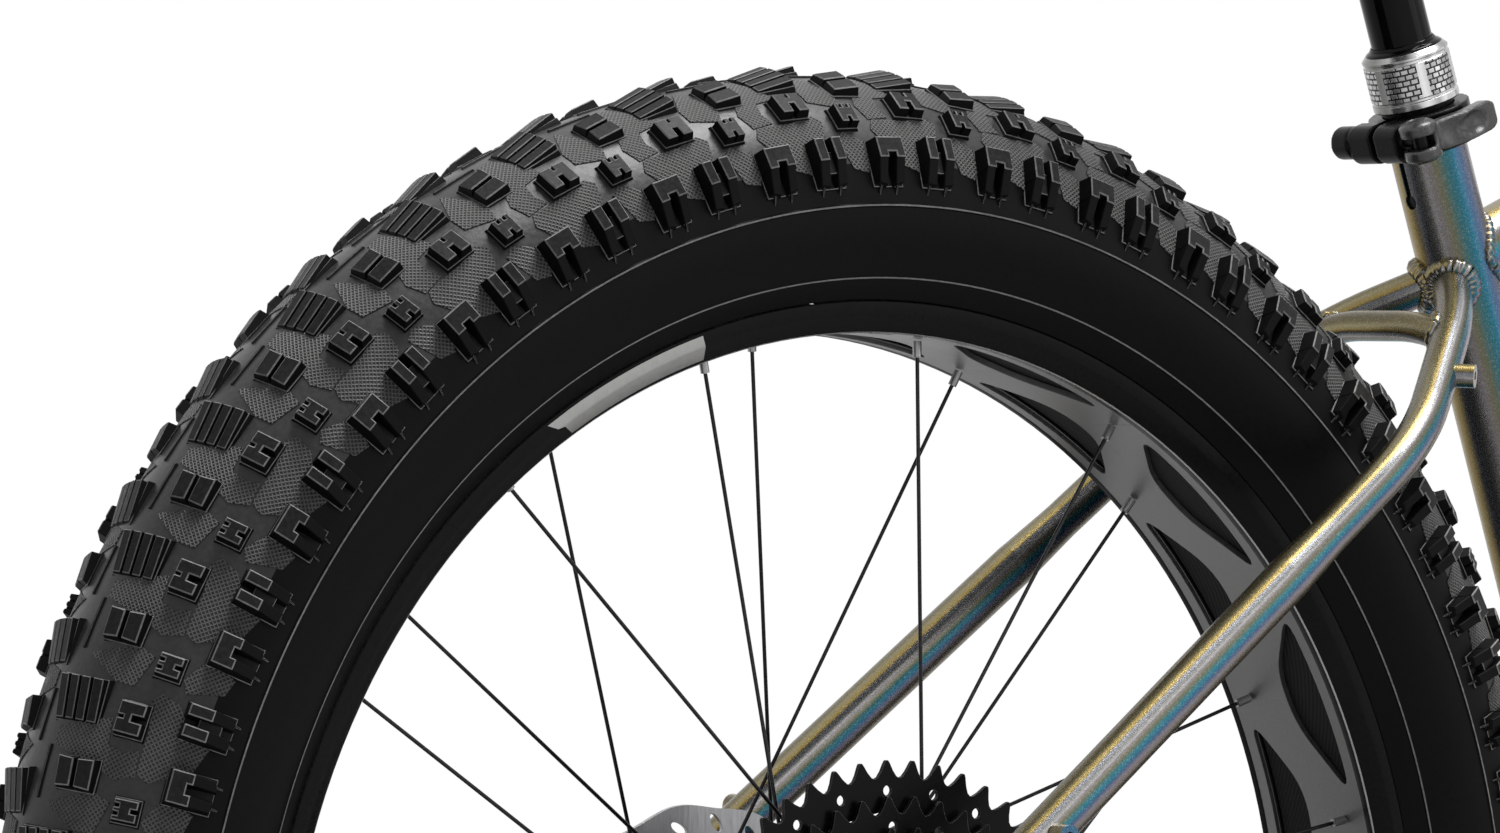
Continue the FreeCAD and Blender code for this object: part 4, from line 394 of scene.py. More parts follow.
def brushedSteel(name, dark, light, stretch, rough):
    # fine parallel scratches round or along a piece
    material, tree, shader = startMaterial(name, light, rough, 1.0)
    mapping = addNode(tree, "Mapping", Scale=stretch, Vector=objectPlace(tree)).outputs["Vector"]
    scratch = addNode(tree, "TexNoise", Scale=90.0, Detail=5.0, Vector=mapping).outputs["Fac"]
    feed(tree, shader["Base Color"], mixColour(tree, scratch, dark, light))
    addBump(tree, shader, scratch, 0.3, 0.0002, softNormal(tree, 0.0004))
    return material


def turnedSilverPaintedReflections():
    # polished turning, with painted dark and bright reflection bands round it, set by which way the skin
    # faces
    material, tree, shader = startMaterial("turnedSilverPaintedReflections", 0.5, 0.2, 1.0)
    around = vector2(tree, "DOT_PRODUCT", faceNormal(tree), (0.81, -0.587, 0.0))
    grain = placeGroup(tree, grainGroup, Scale=900.0, Dark=grey(0.86), Light=grey(1.0), Rough_Low=0.12,
                       Rough_High=0.24)
    phase = math2(tree, "ADD", math2(tree, "MULTIPLY", around, 0.5), 0.5)
    # painted reflection bands, darker and lighter by which way the skin faces
    bands = rampOf(tree, phase, (
        (0.00, (0.30, 0.30, 0.29)), (0.14, (0.22, 0.22, 0.21)), (0.26, (0.46, 0.46, 0.45)), (0.42, 0.24),
        (0.52, 0.66), (0.60, 0.86), (0.74, 0.34), (0.92, 0.70), (1.00, 0.25)))
    setInputs(tree, shader, Base_Color=mixColour(tree, 1.0, bands, grain["Colour"], "MULTIPLY"),
              Roughness=grain["Roughness"])
    addBump(tree, shader, grain["Height"], 0.1, 0.0001, softNormal(tree, 0.0004))
    return material


def knurledMetal():
    # rows of small plates pressed into the collar, from its own map
    material, tree, shader = startMaterial("knurledMetal", 0.55, 0.3, 1.0)
    plates = addNode(tree, "TexBrick", offset=0.5, Scale=1.0, Brick_Width=0.34, Row_Height=0.24,
                     Mortar_Size=0.042, Mortar_Smooth=0.3, Color1=grey(0.34), Color2=grey(0.62),
                     Mortar=grey(0.045), Vector=addNode(tree, "UVMap", uv_map="collarMap").outputs[0]).outputs
    feed(tree, shader["Base Color"], plates["Color"])
    addBump(tree, shader, math2(tree, "SUBTRACT", 1.0, plates["Fac"]), 0.8, 0.0006)
    return material


def wovenStrip():
    material, tree, shader = startMaterial("wovenStrip", 0.015, 0.85, Specular_IOR_Level=0.25)
    weave = addNode(tree, "TexWave", wave_type="BANDS", bands_direction="DIAGONAL", Scale=260.0,
                    Vector=objectPlace(tree)).outputs["Fac"]
    feed(tree, shader["Base Color"], mixColour(tree, weave, grey(0.008), grey(0.022)))
    addBump(tree, shader, weave, 0.4, 0.0003)
    return material


# plain finishes: darkest and lightest tone, roughness, grain, and wear with painted edge highlight
grainSpecs = {
    "black_metal": {"name": "satinBlack", "dark": 0.004, "light": 0.009, "rough": (0.18, 0.30),
                    "scale": 700.0, "bump": 0.0001, "wearAndHighlight": 3.0, "wornAndHighlightTone": 0.22, "edge": 0.0007, "dust": 0.02,
                    "gloss": 0.12},
    "gloss_black": {"name": "glossBlack", "dark": 0.002, "light": 0.004, "rough": (0.07, 0.12),
                    "scale": 300.0, "bump": 0.00003, "gloss": 0.12},
    "dark_lever": {"name": "leverGrey", "dark": 0.055, "light": (0.095, 0.095, 0.094), "rough": (0.20, 0.28),
                   "metallic": 0.6, "scale": 800.0, "bump": 0.0001, "wearAndHighlight": 5.0, "wornAndHighlightTone": 0.28, "edge": 0.0020,
                   "gloss": 0.3},
    "tyre_rubber": {"name": "smoothRubber", "dark": 0.0022, "light": 0.0045, "rough": (0.36, 0.48),
                    "scale": 420.0, "bump": 0.00025, "gloss": 0.08},
    "rim_metal": {"name": "rimBlack", "dark": 0.005, "light": 0.009, "rough": (0.26, 0.36), "scale": 500.0,
                  "bump": 0.0001, "wearAndHighlight": 1.0, "wornAndHighlightTone": 0.12, "edge": 0.0005, "gloss": 0.08},
    "cassette_black": {"name": "sprocketBlack", "dark": 0.002, "light": 0.005, "rough": (0.28, 0.40),
                       "scale": 900.0, "bump": 0.0001, "wearAndHighlight": 5.0, "edge": 0.0004, "gloss": 0.1},
    "grip_rubber": {"name": "gripRubber", "dark": 0.014, "light": 0.030, "rough": (0.62, 0.80),
                    "scale": 900.0, "bump": 0.0004, "edge": 0.0005, "gloss": 0.08},
    "saddle_skin": {"name": "saddleSkin", "dark": 0.012, "light": 0.026, "rough": (0.44, 0.60),
                    "scale": 520.0, "bump": 0.0005},
    "black_plastic": {"name": "mouldedBlack", "dark": (0.014, 0.014, 0.015), "light": (0.028, 0.028, 0.030),
                      "rough": (0.42, 0.56), "scale": 800.0, "bump": 0.0002, "wearAndHighlight": 2.0, "wornAndHighlightTone": 0.09,
                      "edge": 0.0007},
    "hose_black": {"name": "hoseBlack", "dark": 0.010, "light": 0.018, "rough": (0.26, 0.36), "scale": 600.0,
                   "bump": 0.0001},
    # tyre finishes: painted light on knob tops, painted shade on knob sides, painted highlight on edges and
    # ridges, painted sheen on the crown
    "knobTop": {"dark": 0.014, "light": (0.036, 0.036, 0.035), "rough": (0.34, 0.50),
                "scale": 520.0, "bump": 0.0004, "gloss": 0.08},
    "knobSide": {"dark": 0.003, "light": 0.006, "rough": (0.45, 0.60), "scale": 420.0,
                 "gloss": 0.08},
    "knobEdge": {"dark": (0.20, 0.20, 0.196), "light": (0.36, 0.36, 0.353),
                 "rough": (0.40, 0.55), "scale": 520.0, "gloss": 0.08},
    "crownRubber": {"dark": 0.024, "light": (0.056, 0.056, 0.055),
                    "rough": (0.30, 0.42), "scale": 420.0, "gloss": 0.3},
    "rimGrey": {"dark": (0.165, 0.165, 0.163), "light": (0.205, 0.205, 0.203),
                "rough": (0.34, 0.46), "metallic": 0.85, "scale": 700.0, "bump": 0.0001, "edge": 0.0005},
    # painted highlight along the rim walls' edges
    "rimEdgeBright": {"dark": 0.30, "light": 0.42, "rough": (0.25, 0.35), "metallic": 0.8,
                "scale": 700.0, "bump": 0.0001},
    "decalGrey": {"dark": (0.30, 0.30, 0.29), "light": (0.36, 0.36, 0.35),
                  "rough": (0.38, 0.48), "metallic": 0.9, "bump": 0.00005},
}
finishes = {key: grainyMaterial(**{"name": key, **spec}) for key, spec in grainSpecs.items()}
finishes.update({
    "frame_metal": paintedFrame(paintSpec), "silver_metal": turnedSilverPaintedReflections(), "strip_black": wovenStrip(),
    "hatch": hatchedRubberPaintedHighlights(), "knurl": knurledMetal(),
    "rotor_steel": brushedSteel("rotorSteel", (0.24, 0.24, 0.25), (0.46, 0.46, 0.47),
                                (8.0, 1.0, 1.0), 0.30),
    "chain_steel": brushedSteel("chainSteel", (0.26, 0.26, 0.27), (0.48, 0.48, 0.50),
                                (20.0, 4.0, 20.0), 0.34),
    "steel": brushedSteel("groundSteel", (0.40, 0.40, 0.41), (0.64, 0.64, 0.65), (4.0, 20.0, 4.0), 0.28),
})
slotOfNode = {row["node"]: row["material_slot"] for row in frame["record"]["subparts"]}
for name, node in nodes.items():
    if name.endswith("_spokes"):
        finish = spokeFinish(name + "Finish", rearAxle if name.startswith("rear") else frontAxle)
    else:
        finish = finishes[slotOfNode[name]]
    node.data.materials.clear()
    node.data.materials.append(finish)
print("materials placed", len(bpy.data.materials))

# small tools for meshes, in millimetres


def newMesh(name, points, faces, marks, finishNames, angle, mapName=None, mapPoints=None):
    mesh = bpy.data.meshes.new(name)
    mesh.from_pydata([tuple(Vector(point) * mm) for point in points], [], faces)
    for finishName in finishNames:
        mesh.materials.append(finishes[finishName])
    mesh.polygons.foreach_set("material_index", marks)
    mesh.polygons.foreach_set("use_smooth", [True] * len(mesh.polygons))
    mesh.set_sharp_from_angle(angle=math.radians(angle))
    if mapPoints:
        layer = mesh.uv_layers.new(name=mapName)
        flat = []
        for loop in mesh.loops:
            flat.extend(mapPoints[loop.vertex_index])
        layer.data.foreach_set("uv", flat)
    mesh.validate()
    return mesh


def newPiece(name, mesh, body, replaced=(), place=None):
    piece = bpy.data.objects.new(name, mesh)
    scene.collection.objects.link(piece)
    if place is not None:
        piece.location = place * mm
    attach(piece, body)
    if replaced:
        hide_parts(*replaced)


def around(radius, turn):
    return radius * math.cos(turn), radius * math.sin(turn)


def offsetOutline(outline, distance):
    # moves each side of a counterclockwise outline outwards
    moved = []
    for number, (x, y) in enumerate(outline):
        before = outline[number - 1]
        after = outline[(number + 1) % len(outline)]
        first = Vector((x - before[0], y - before[1])).normalized()
        second = Vector((after[0] - x, after[1] - y)).normalized()
        out = Vector((first.y + second.y, -first.x - second.x))
        share = distance / max(0.5, 1.0 + first.dot(second))
        moved.append((x + out.x * share, y + out.y * share))
    return moved


def flatFill(outer, holes=(), cutsX=(), cutsY=()):
    # a filled flat outline with holes, split along the given lines
    bm = bmesh.new()
    for loop in [outer] + list(holes):
        corners = [bm.verts.new((x, y, 0.0)) for x, y in loop]
        for first, second in zip(corners, corners[1:] + corners[:1]):
            bm.edges.new((first, second))
    bmesh.ops.triangle_fill(bm, use_beauty=True, use_dissolve=False, edges=bm.edges[:], normal=(0, 0, 1))
    for lines, normal in ((cutsX, Vector((1, 0, 0))), (cutsY, Vector((0, 1, 0)))):
        for line in lines:
            bmesh.ops.bisect_plane(bm, geom=bm.verts[:] + bm.edges[:] + bm.faces[:], plane_co=normal * line,
                                   plane_no=normal)
    bm.normal_update()
    bm.verts.index_update()
    points = [(v.co.x, v.co.y) for v in bm.verts]
    faces = []
    for face in bm.faces:
        corners = [v.index for v in face.verts]
        faces.append(corners if face.normal.z > 0 else corners[::-1])
    bm.free()
    return points, faces


def addSlab(store, flat, lower, upper, mark=0, closed=True, flip=False):
    # turns a flat fill into a slab between two surfaces
    points, faces = flat
    verts, polys, marks = store
    start = len(verts)
    count = len(points)
    verts.extend(upper(x, y) for x, y in points)
    verts.extend(lower(x, y) for x, y in points)
    edges = set()
    for face in faces:
        edges.update(zip(face, face[1:] + face[:1]))

    def put(corners):
        corners = [start + corner for corner in corners]
        polys.append(corners[::-1] if flip else corners)
        marks.append(mark)

    for face in faces:
        put(face)
        if closed:
            put([corner + count for corner in reversed(face)])
    for first, second in edges:
        if (second, first) not in edges:
            put([second, first, first + count, second + count])


def addGrid(store, start, rows, columns, marksOf, wrapRows=True, wrapColumns=True, flip=False):
    # quads between rows of points that lie one after the other
    _, polys, marks = store
    for row in range(rows if wrapRows else rows - 1):
        here = start + row * columns
        there = start + (row + 1) % rows * columns
        for number in range(columns if wrapColumns else columns - 1):
            after = (number + 1) % columns
            corners = [here + number, here + after, there + after, there + number]
            polys.append(corners[::-1] if flip else corners)
            marks.append(marksOf(row, number))


def plainMark(row, number):
    return 0


def spinRings(store, outline, segments, marksOf, closed=False):
    # an outline of (radius, y) turned about the axle
    verts = store[0]
    start = len(verts)
    for step in range(segments):
        for radius, y in outline:
            x, z = around(radius, fullTurn * step / segments)
            verts.append((x, y, z))
    addGrid(store, start, segments, len(outline), marksOf, True, closed)


# tyre: casing, hatched panels and the tread blocks, laid out on the casing in millimetres
tyreSpec = {"ringRadius": 322.0, "casingRadius": 54.0, "sectors": 40, "phase": -0.4, "farTurn": 5.7,
            "sideAngle": 130.6, "crownAngle": 72.0, "ridges": ((87.5, 0.7), (119.0, 0.5)), "panelRise": 0.4,
            "panelFoot": -0.3, "panelCut": 5.0, "blockFoot": -0.8, "footSpread": 0.8, "chamferSpread": 0.5,
            "chamferDrop": 0.8, "turnSteps": 240, "leanSteps": 64}
tyreFinishes = ["tyre_rubber", "hatch", "knobTop", "knobSide", "knobEdge", "crownRubber"]
tyreMark = {name: number for number, name in enumerate(tyreFinishes)}
mapScale = 0.1    # the maps are in centimetres
# panels: degrees from the arch knob, millimetres from the crown
panelOutlines = (
    ((4.3, 42.5), (6.04, 45.1), (8.76, 45.0), (9.18, 49.9), (7.9, 65.0), (6.1, 68.8), (5.9, 60.9),
     (4.1, 53.6), (3.72, 45.9)),
    ((2.5, 51.2), (3.3, 53.8), (2.57, 67.5), (1.44, 69.4), (1.14, 65.6), (1.17, 56.1)),
    ((6.94, 6.8), (7.95, 6.4), (8.83, 28.0), (9.41, 37.1), (8.98, 44.9), (7.38, 43.8), (7.72, 38.3),
     (7.46, 31.5), (5.88, 30.0)),
    ((2.42, 10.3), (2.9, 15.9), (3.76, 26.2), (3.77, 34.0), (1.77, 38.1), (1.35, 31.0)),
)


def falling(start, end, high, low, across):
    # a height that falls over the block, across the tyre or along it
    def height(u, t):
        share = min(1.0, max(0.0, ((t if across else u) - start) / (end - start)))
        return high + (low - high) * share
    return height


def ramped(start, end, high, low):
    return falling(start, end, high, low, True)


def slopedRun(half, high, low):
    return falling(-half, half, high, low, False)


def level(value):
    return lambda u, t: value


def mirrored(half):
    return [(-u, t) for u, t in reversed(half)]


def evenBlock(turn, half, height, chamfer):
    # the half outline is mirrored to make one block
    return [(turn, half + mirrored(half), height, chamfer, False)]


# a dark pair takes the painted shade on its top and chamfer as well as its sides
def twinBlocks(turn, outline, height, chamfer, dark=False):
    return [(turn, row, height, chamfer, dark) for row in (outline, mirrored(outline))]


# blocks: turn in degrees from the arch knob, outline (along, across), height and chamfer in millimetres
archTurn, splitTurn = 0.0, 4.85
smallTurn, largeTurn = 2.1, 5.75
pairTurn, rampTurn, lineTurn = 0.5, 5.2, 0.9
treadBlocks = (
    evenBlock(archTurn, [(7.4, 56.6), (7.2, 75.4)], level(0.9), 0.3)
    + evenBlock(archTurn, [(6.2, 57.6), (6.2, 65.4), (2.0, 65.4), (2.0, 63.4)], level(7.4), 0.5)
    + twinBlocks(archTurn, [(2.0, 64.6), (6.2, 64.6), (6.0, 74.0), (2.1, 75.0)],
                 ramped(65.0, 75.0, 7.0, 3.4), 0.3, True)
    + twinBlocks(archTurn, [(3.6, 74.0), (4.5, 74.0), (4.3, 78.4), (3.8, 78.4)],
                 ramped(74.0, 78.4, 2.4, 0.2), 0.1)
    + evenBlock(splitTurn, [(7.4, 56.0), (7.2, 75.4)], level(0.9), 0.3)
    + twinBlocks(splitTurn, [(1.8, 56.8), (6.3, 56.8), (6.3, 65.4), (1.9, 65.4)], level(7.2), 0.5)
    + twinBlocks(splitTurn, [(1.8, 64.6), (6.3, 64.6), (6.3, 74.0), (1.9, 74.6)],
                 ramped(65.0, 75.0, 6.8, 3.4), 0.3, True)
    + evenBlock(splitTurn, [(2.2, 61.5), (2.2, 70.0)], level(4.0), 0.3)
    + twinBlocks(splitTurn, [(3.6, 74.0), (4.6, 74.0), (4.4, 78.0), (3.9, 78.0)],
                 ramped(74.0, 78.0, 2.4, 0.2), 0.1)
    + evenBlock(smallTurn, [(5.0, 40.0), (5.0, 50.4)], level(1.3), 0.3)
    + evenBlock(smallTurn, [(0.8, 41.0), (0.9, 43.0), (2.2, 43.0), (2.3, 41.0), (4.0, 41.0), (4.0, 49.5),
                            (0.9, 49.5), (0.8, 47.2)], level(5.5), 0.45)
    + evenBlock(largeTurn, [(7.0, 32.6), (7.0, 44.0)], level(1.3), 0.3)
    + evenBlock(largeTurn, [(0.6, 35.9), (0.7, 33.5), (6.0, 33.5), (6.0, 43.0), (1.4, 43.0), (1.3, 38.8)],
                level(5.5), 0.5)
    + evenBlock(pairTurn, [(6.6, 14.2), (6.6, 31.4)], level(0.9), 0.3)
    + evenBlock(pairTurn, [(5.7, 15.0), (5.2, 21.6)], slopedRun(5.7, 4.8, 3.4), 0.5)
    + evenBlock(pairTurn, [(5.2, 23.4), (5.7, 30.0)], slopedRun(5.7, 4.8, 3.4), 0.5)
    + evenBlock(rampTurn, [(9.0, 2.8), (8.6, 25.0)], slopedRun(9.0, 2.6, 0.6), 0.3)
)
for near, far in ((3.4, 7.6), (9.0, 13.0), (14.4, 18.4), (19.8, 24.0)):
    treadBlocks += evenBlock(rampTurn, [(8.0, near), (8.0, far)], slopedRun(8.0, 5.0, 1.4), 0.35)
treadBlocks.append((lineTurn, [(-12.0, 4.2), (8.0, 4.2), (8.0, 5.0), (-12.0, 5.0)], level(0.9), 0.1, False))


def evenCuts(values, gap):
    low = min(values)
    return [low + gap * step for step in range(1, int((max(values) - low) / gap) + 1)]


def makeTyre(spec):
    ring = spec["ringRadius"]
    casing = spec["casingRadius"]
    store = ([], [], [])
    verts, faces, marks = store

    def place(side, turn, u, t, h):
        lean = t / casing
        angle = turn + u / (ring + casing * math.cos(lean))
        x, z = around(ring + (casing + h) * math.cos(lean), angle)
        return x, side * (casing + h) * math.sin(lean), z

    # casing, with the mould line and the line over the rim as low ridges
    steps = spec["leanSteps"]
    outline = [(spec["sideAngle"] * (2 * step / steps - 1), 0.0) for step in range(steps + 1)]
    for line, rise in spec["ridges"]:
        for sign in (-1, 1):
            for shift, height in ((-0.9, 0.0), (-0.35, rise), (0.35, rise), (0.9, 0.0)):
                outline.append((sign * line + shift, height))
    outline.sort()
    rings = []
    for lean, rise in outline:
        x, y = around(casing + rise, math.radians(lean))
        rings.append((ring + x, y))

    def casingMark(row, number):
        # the crown is painted lighter as a sheen, the side walls stay dark, and the ridges get a painted
        # highlight
        lean, rise = outline[number]
        if rise > 0.0 and outline[number + 1][1] > 0.0:
            return tyreMark["knobEdge"]
        return tyreMark["crownRubber" if abs(lean) < spec["crownAngle"] else "tyre_rubber"]

    spinRings(store, rings, spec["turnSteps"], casingMark)
    chart = [(math.atan2(z, x) * ring * mapScale, y * mapScale) for x, y, z in verts]

    panels = []
    for panelOutline in panelOutlines:
        flat = [(math.radians(turn) * ring, t) for turn, t in panelOutline]
        cutsX, cutsY = (evenCuts([spot[axis] for spot in flat], spec["panelCut"]) for axis in (0, 1))
        panels.append(flatFill(flat, (), cutsX, cutsY))

    def addBlock(side, middle, waist, height, chamfer, dark):
        # three outlines: a wider foot in the casing, the waist and the chamfered top
        start = len(verts)
        count = len(waist)
        foot = offsetOutline(waist, spec["footSpread"] + spec["chamferSpread"] * chamfer)
        top = offsetOutline(waist, -chamfer)
        verts.extend(place(side, middle, u, t, spec["blockFoot"]) for u, t in foot)
        drop = chamfer * spec["chamferDrop"]
        verts.extend(place(side, middle, u, t, height(u, t) - drop) for u, t in waist)
        verts.extend(place(side, middle, u, t, height(u, t)) for u, t in top)
        chart.extend((u * mapScale, t * mapScale) for u, t in foot + waist + top)
        # painted shade on the sides, a painted highlight on the chamfer and painted light on the top, with
        # painted shade all over a dark block
        rowMarks = ("knobSide", "knobSide" if dark else "knobEdge")
        addGrid(store, start, 3, count, lambda row, number: tyreMark[rowMarks[row]], False, True, side > 0)
        lid = list(range(start + 2 * count, start + 3 * count))
        faces.append(lid if side < 0 else lid[::-1])
        marks.append(tyreMark["knobSide" if dark else "knobTop"])

    for side in (-1, 1):
        start = math.radians(spec["phase"] + (spec["farTurn"] if side > 0 else 0.0))
        for sector in range(spec["sectors"]):
            turn = start + sector * fullTurn / spec["sectors"]
            for panel in panels:
                addSlab(store, panel, lambda x, y: place(side, turn + x / ring, 0.0, y, spec["panelFoot"]),
                        lambda x, y: place(side, turn + x / ring, 0.0, y, spec["panelRise"]),
                        tyreMark["hatch"], False, side > 0)
                for x, y in panel[0] * 2:
                    chart.append((x * mapScale * (ring + casing * math.cos(y / casing)) / ring, y * mapScale))
            for blockTurn, *block in treadBlocks:
                addBlock(side, turn + math.radians(blockTurn), *block)
    return newMesh("rearTyreTread", *store, tyreFinishes, angle=32.0, mapName="tyreMap", mapPoints=chart)


tyreMesh = makeTyre(tyreSpec)
newPiece("rearTyreTread", tyreMesh, "rear_wheel", ("rear_tyre",), rearAxle)
newPiece("frontTyreTread", tyreMesh, "front_wheel", ("front_tyre",), frontAxle)
print("tyres", len(tyreMesh.polygons), "faces each")

# rim: a grey bed with two rows of windows, and black side walls with painted highlights along two edges
rimSpec = {"innerRadius": 273.7, "bedRadius": 276.2, "bedHalf": 32.8, "windows": 16, "phase": 2.5,
           "windowOuter": 43.0, "windowInner": 12.5, "windowLow": 3.4, "windowHigh": 27.0, "corner": 11.0,
           "bedSteps": 12, "wallSteps": 180, "paintedHighlightWallEdges": (3, 9),
           "wall": ((276.2, 26.0), (273.9, 32.6), (273.5, 34.0), (273.6, 36.4), (274.1, 37.0), (275.2, 37.6),
                    (280.6, 41.3), (281.4, 41.5), (286.0, 41.5), (286.5, 41.1), (286.5, 39.6), (285.6, 39.2),
                    (279.5, 38.6), (279.5, 31.0)),
           "decal": (106.3, 121.6), "decalLift": 0.15, "decalSteps": 12, "decalSlant": (-1.0, 0.7),
           "decalBand": ((275.3, 37.8), (280.4, 41.3), (281.4, 41.5), (285.2, 41.5))}


def roundedOutline(corners, radius, steps=5):
    # each corner becomes an arc
    result = []
    for number, corner in enumerate(corners):
        here = Vector(corner)
        back = Vector(corners[number - 1]) - here
        ahead = Vector(corners[(number + 1) % len(corners)]) - here
        reach = min(radius, back.length * 0.48, ahead.length * 0.48)
        start = here + back.normalized() * reach
        end = here + ahead.normalized() * reach
        for step in range(steps + 1):
            share = step / steps
            point = start * (1 - share) ** 2 + here * 2 * share * (1 - share) + end * share ** 2
            result.append((point.x, point.y))
    return result


def addDecal(store, spec, side):
    # a blank decal band on a side wall, cut at a slant
    verts = store[0]
    first, last = spec["decal"]
    steps = spec["decalSteps"]
    start = len(verts)
    for step in range(steps + 1):
        for number, (radius, y) in enumerate(spec["decalBand"]):
            slant = spec["decalSlant"][0] + spec["decalSlant"][1] * number if step == steps else 0.0
            turn = math.radians(first + (last - first) * step / steps + slant)
            x, z = around(radius - spec["decalLift"], turn)
            verts.append((x, side * (y + spec["decalLift"]), z))
    addGrid(store, start, steps + 1, len(spec["decalBand"]), lambda row, number: 3, False, False, side > 0)


def makeRim(spec):
    store = ([], [], [])
    pitch = fullTurn / spec["windows"]
    inner = spec["innerRadius"]
    unit = inner * pitch
    half = spec["bedHalf"]
    low = spec["windowLow"]
    high = spec["windowHigh"]
    narrow = spec["windowInner"]
    broad = spec["windowOuter"]
    window = roundedOutline([(-narrow, low), (narrow, low), (broad, high), (-broad, high)], spec["corner"])
    cuts = [unit * (step / spec["bedSteps"] - 0.5) for step in range(1, spec["bedSteps"])]
    sheet = flatFill([(-unit / 2, 0.0), (unit / 2, 0.0), (unit / 2, half), (-unit / 2, half)], [window], cuts)

    def at(radius, side, turn):
        def put(x, y):
            spot = around(radius, turn + x / inner)
            return spot[0], side * y, spot[1]
        return put

    for side, shift in ((-1, 0.0), (1, 0.5)):
        for number in range(spec["windows"]):
            turn = math.radians(spec["phase"]) + (number + shift) * pitch
            addSlab(store, sheet, at(spec["bedRadius"], side, turn), at(inner, side, turn), 0, True, side < 0)

    def wallMark(row, number):
        # the listed wall edges get a painted highlight
        return 2 if number in spec["paintedHighlightWallEdges"] else 1

    spinRings(store, spec["wall"][::-1], spec["wallSteps"], wallMark)
    spinRings(store, [(radius, -y) for radius, y in spec["wall"]], spec["wallSteps"], wallMark)
    for side in (-1, 1):
        addDecal(store, spec, side)
    return newMesh("rearRimBarrel", *store, ["rimGrey", "rim_metal", "rimEdgeBright", "decalGrey"],
                   angle=30.0)


rimMesh = makeRim(rimSpec)
newPiece("rearRimBarrel", rimMesh, "rear_wheel", ("rear_rim",), rearAxle)
newPiece("frontRimBarrel", rimMesh, "front_wheel", ("front_rim",), frontAxle)
print("rims", len(rimMesh.polygons), "faces each")

# sprockets and brake discs: flat plates with teeth, waves and holes
cassetteSpec = {"teeth": (50, 43, 37, 32, 28, 24, 21, 18, 16, 14, 12, 11), "first": 52.0, "spacing": 3.45,
                "thickness": 1.6, "pitch": 12.7, "stagger": 0.02, "bore": 17.3, "holeRadius": 2.1,
                "holeInset": 9.0, "drilledFrom": 45.0, "openFrom": 60.0, "windows": 6, "windowInner": 28.0,
                "windowInset": 17.0, "windowTurn": 0.3, "windowHalf": 0.36, "windowSlant": 0.25,
                "spacer": (17.4, 21.5), "spacerGap": 0.8,
                "tooth": ((0.0, -4.1), (0.13, -3.4), (0.27, -1.2), (0.40, 1.9), (0.46, 3.0), (0.54, 3.0),
                          (0.60, 1.9), (0.73, -1.2), (0.87, -3.4))}
rotorSpec = {"radius": 80.0, "bore": 21.0, "waves": 12, "waveSteps": 16, "waveDepth": 1.9, "slots": 24,
             "thickness": 1.8, "slotReach": (70.6, 72.0), "slotLean": (0.95, 0.75), "slotLong": 4.6,
             "slotWide": 2.0, "slotSteps": 14, "arms": 6, "window": (33.0, 61.0), "windowHalf": 0.40,
             "windowSlant": 0.42, "boltCircle": 27.0, "boltRadius": 2.6}


plateCorner = 6.0    # rounding of the windows in sprockets and discs


def circlePoints(cx, cy, radius, count=12):
    spots = [around(radius, fullTurn * step / count) for step in range(count)]
    return [(cx + x, cy + y) for x, y in spots]


def sectorWindow(inner, outer, middle, halfAngle, slant):
    corners = []
    for radius, sign in ((inner, -1), (outer, -1), (outer, 0), (outer, 1), (inner, 1)):
        corners.append(around(radius, middle + sign * halfAngle + slant * (radius - inner) / (outer - inner)))
    return roundedOutline(corners[::-1], plateCorner, 4)


def plateAt(y):
    return lambda x, z: (x, y, z)


def addPlate(store, outline, holes, y, thickness):
    addSlab(store, flatFill(outline, holes), plateAt(y + thickness / 2), plateAt(y - thickness / 2))


def makeCassette(spec):
    store = ([], [], [])
    for number, teeth in enumerate(spec["teeth"]):
        radius = spec["pitch"] / (2 * math.sin(math.pi / teeth))
        turn = math.pi / 2 - math.pi / teeth + spec["stagger"] * number
        outline = []
        for tooth in range(teeth):
            for share, rise in spec["tooth"]:
                outline.append(around(radius + rise, turn + fullTurn * (tooth + share) / teeth))
        holes = [circlePoints(0.0, 0.0, spec["bore"], 40)]
        if radius > spec["drilledFrom"]:
            count = teeth // 2
            for hole in range(count):
                spot = around(radius - spec["holeInset"], math.pi / 2 + fullTurn * hole / count)
                holes.append(circlePoints(*spot, spec["holeRadius"]))
        if radius > spec["openFrom"]:
            for hole in range(spec["windows"]):
                middle = fullTurn * hole / spec["windows"] + spec["windowTurn"]
                holes.append(sectorWindow(spec["windowInner"], radius - spec["windowInset"], middle,
                                          spec["windowHalf"], spec["windowSlant"]))
        y = -(spec["first"] + spec["spacing"] * number)
        addPlate(store, outline, holes, y, spec["thickness"])
        if number:
            low, high = spec["spacer"]
            far = y + spec["spacing"] - spec["spacerGap"]
            near = y + spec["spacerGap"]
            spinRings(store, [(low, far), (high, far), (high, near), (low, near)], 48, plainMark, True)
    return newMesh("cassetteSprockets", *store, ["cassette_black"], angle=30.0)


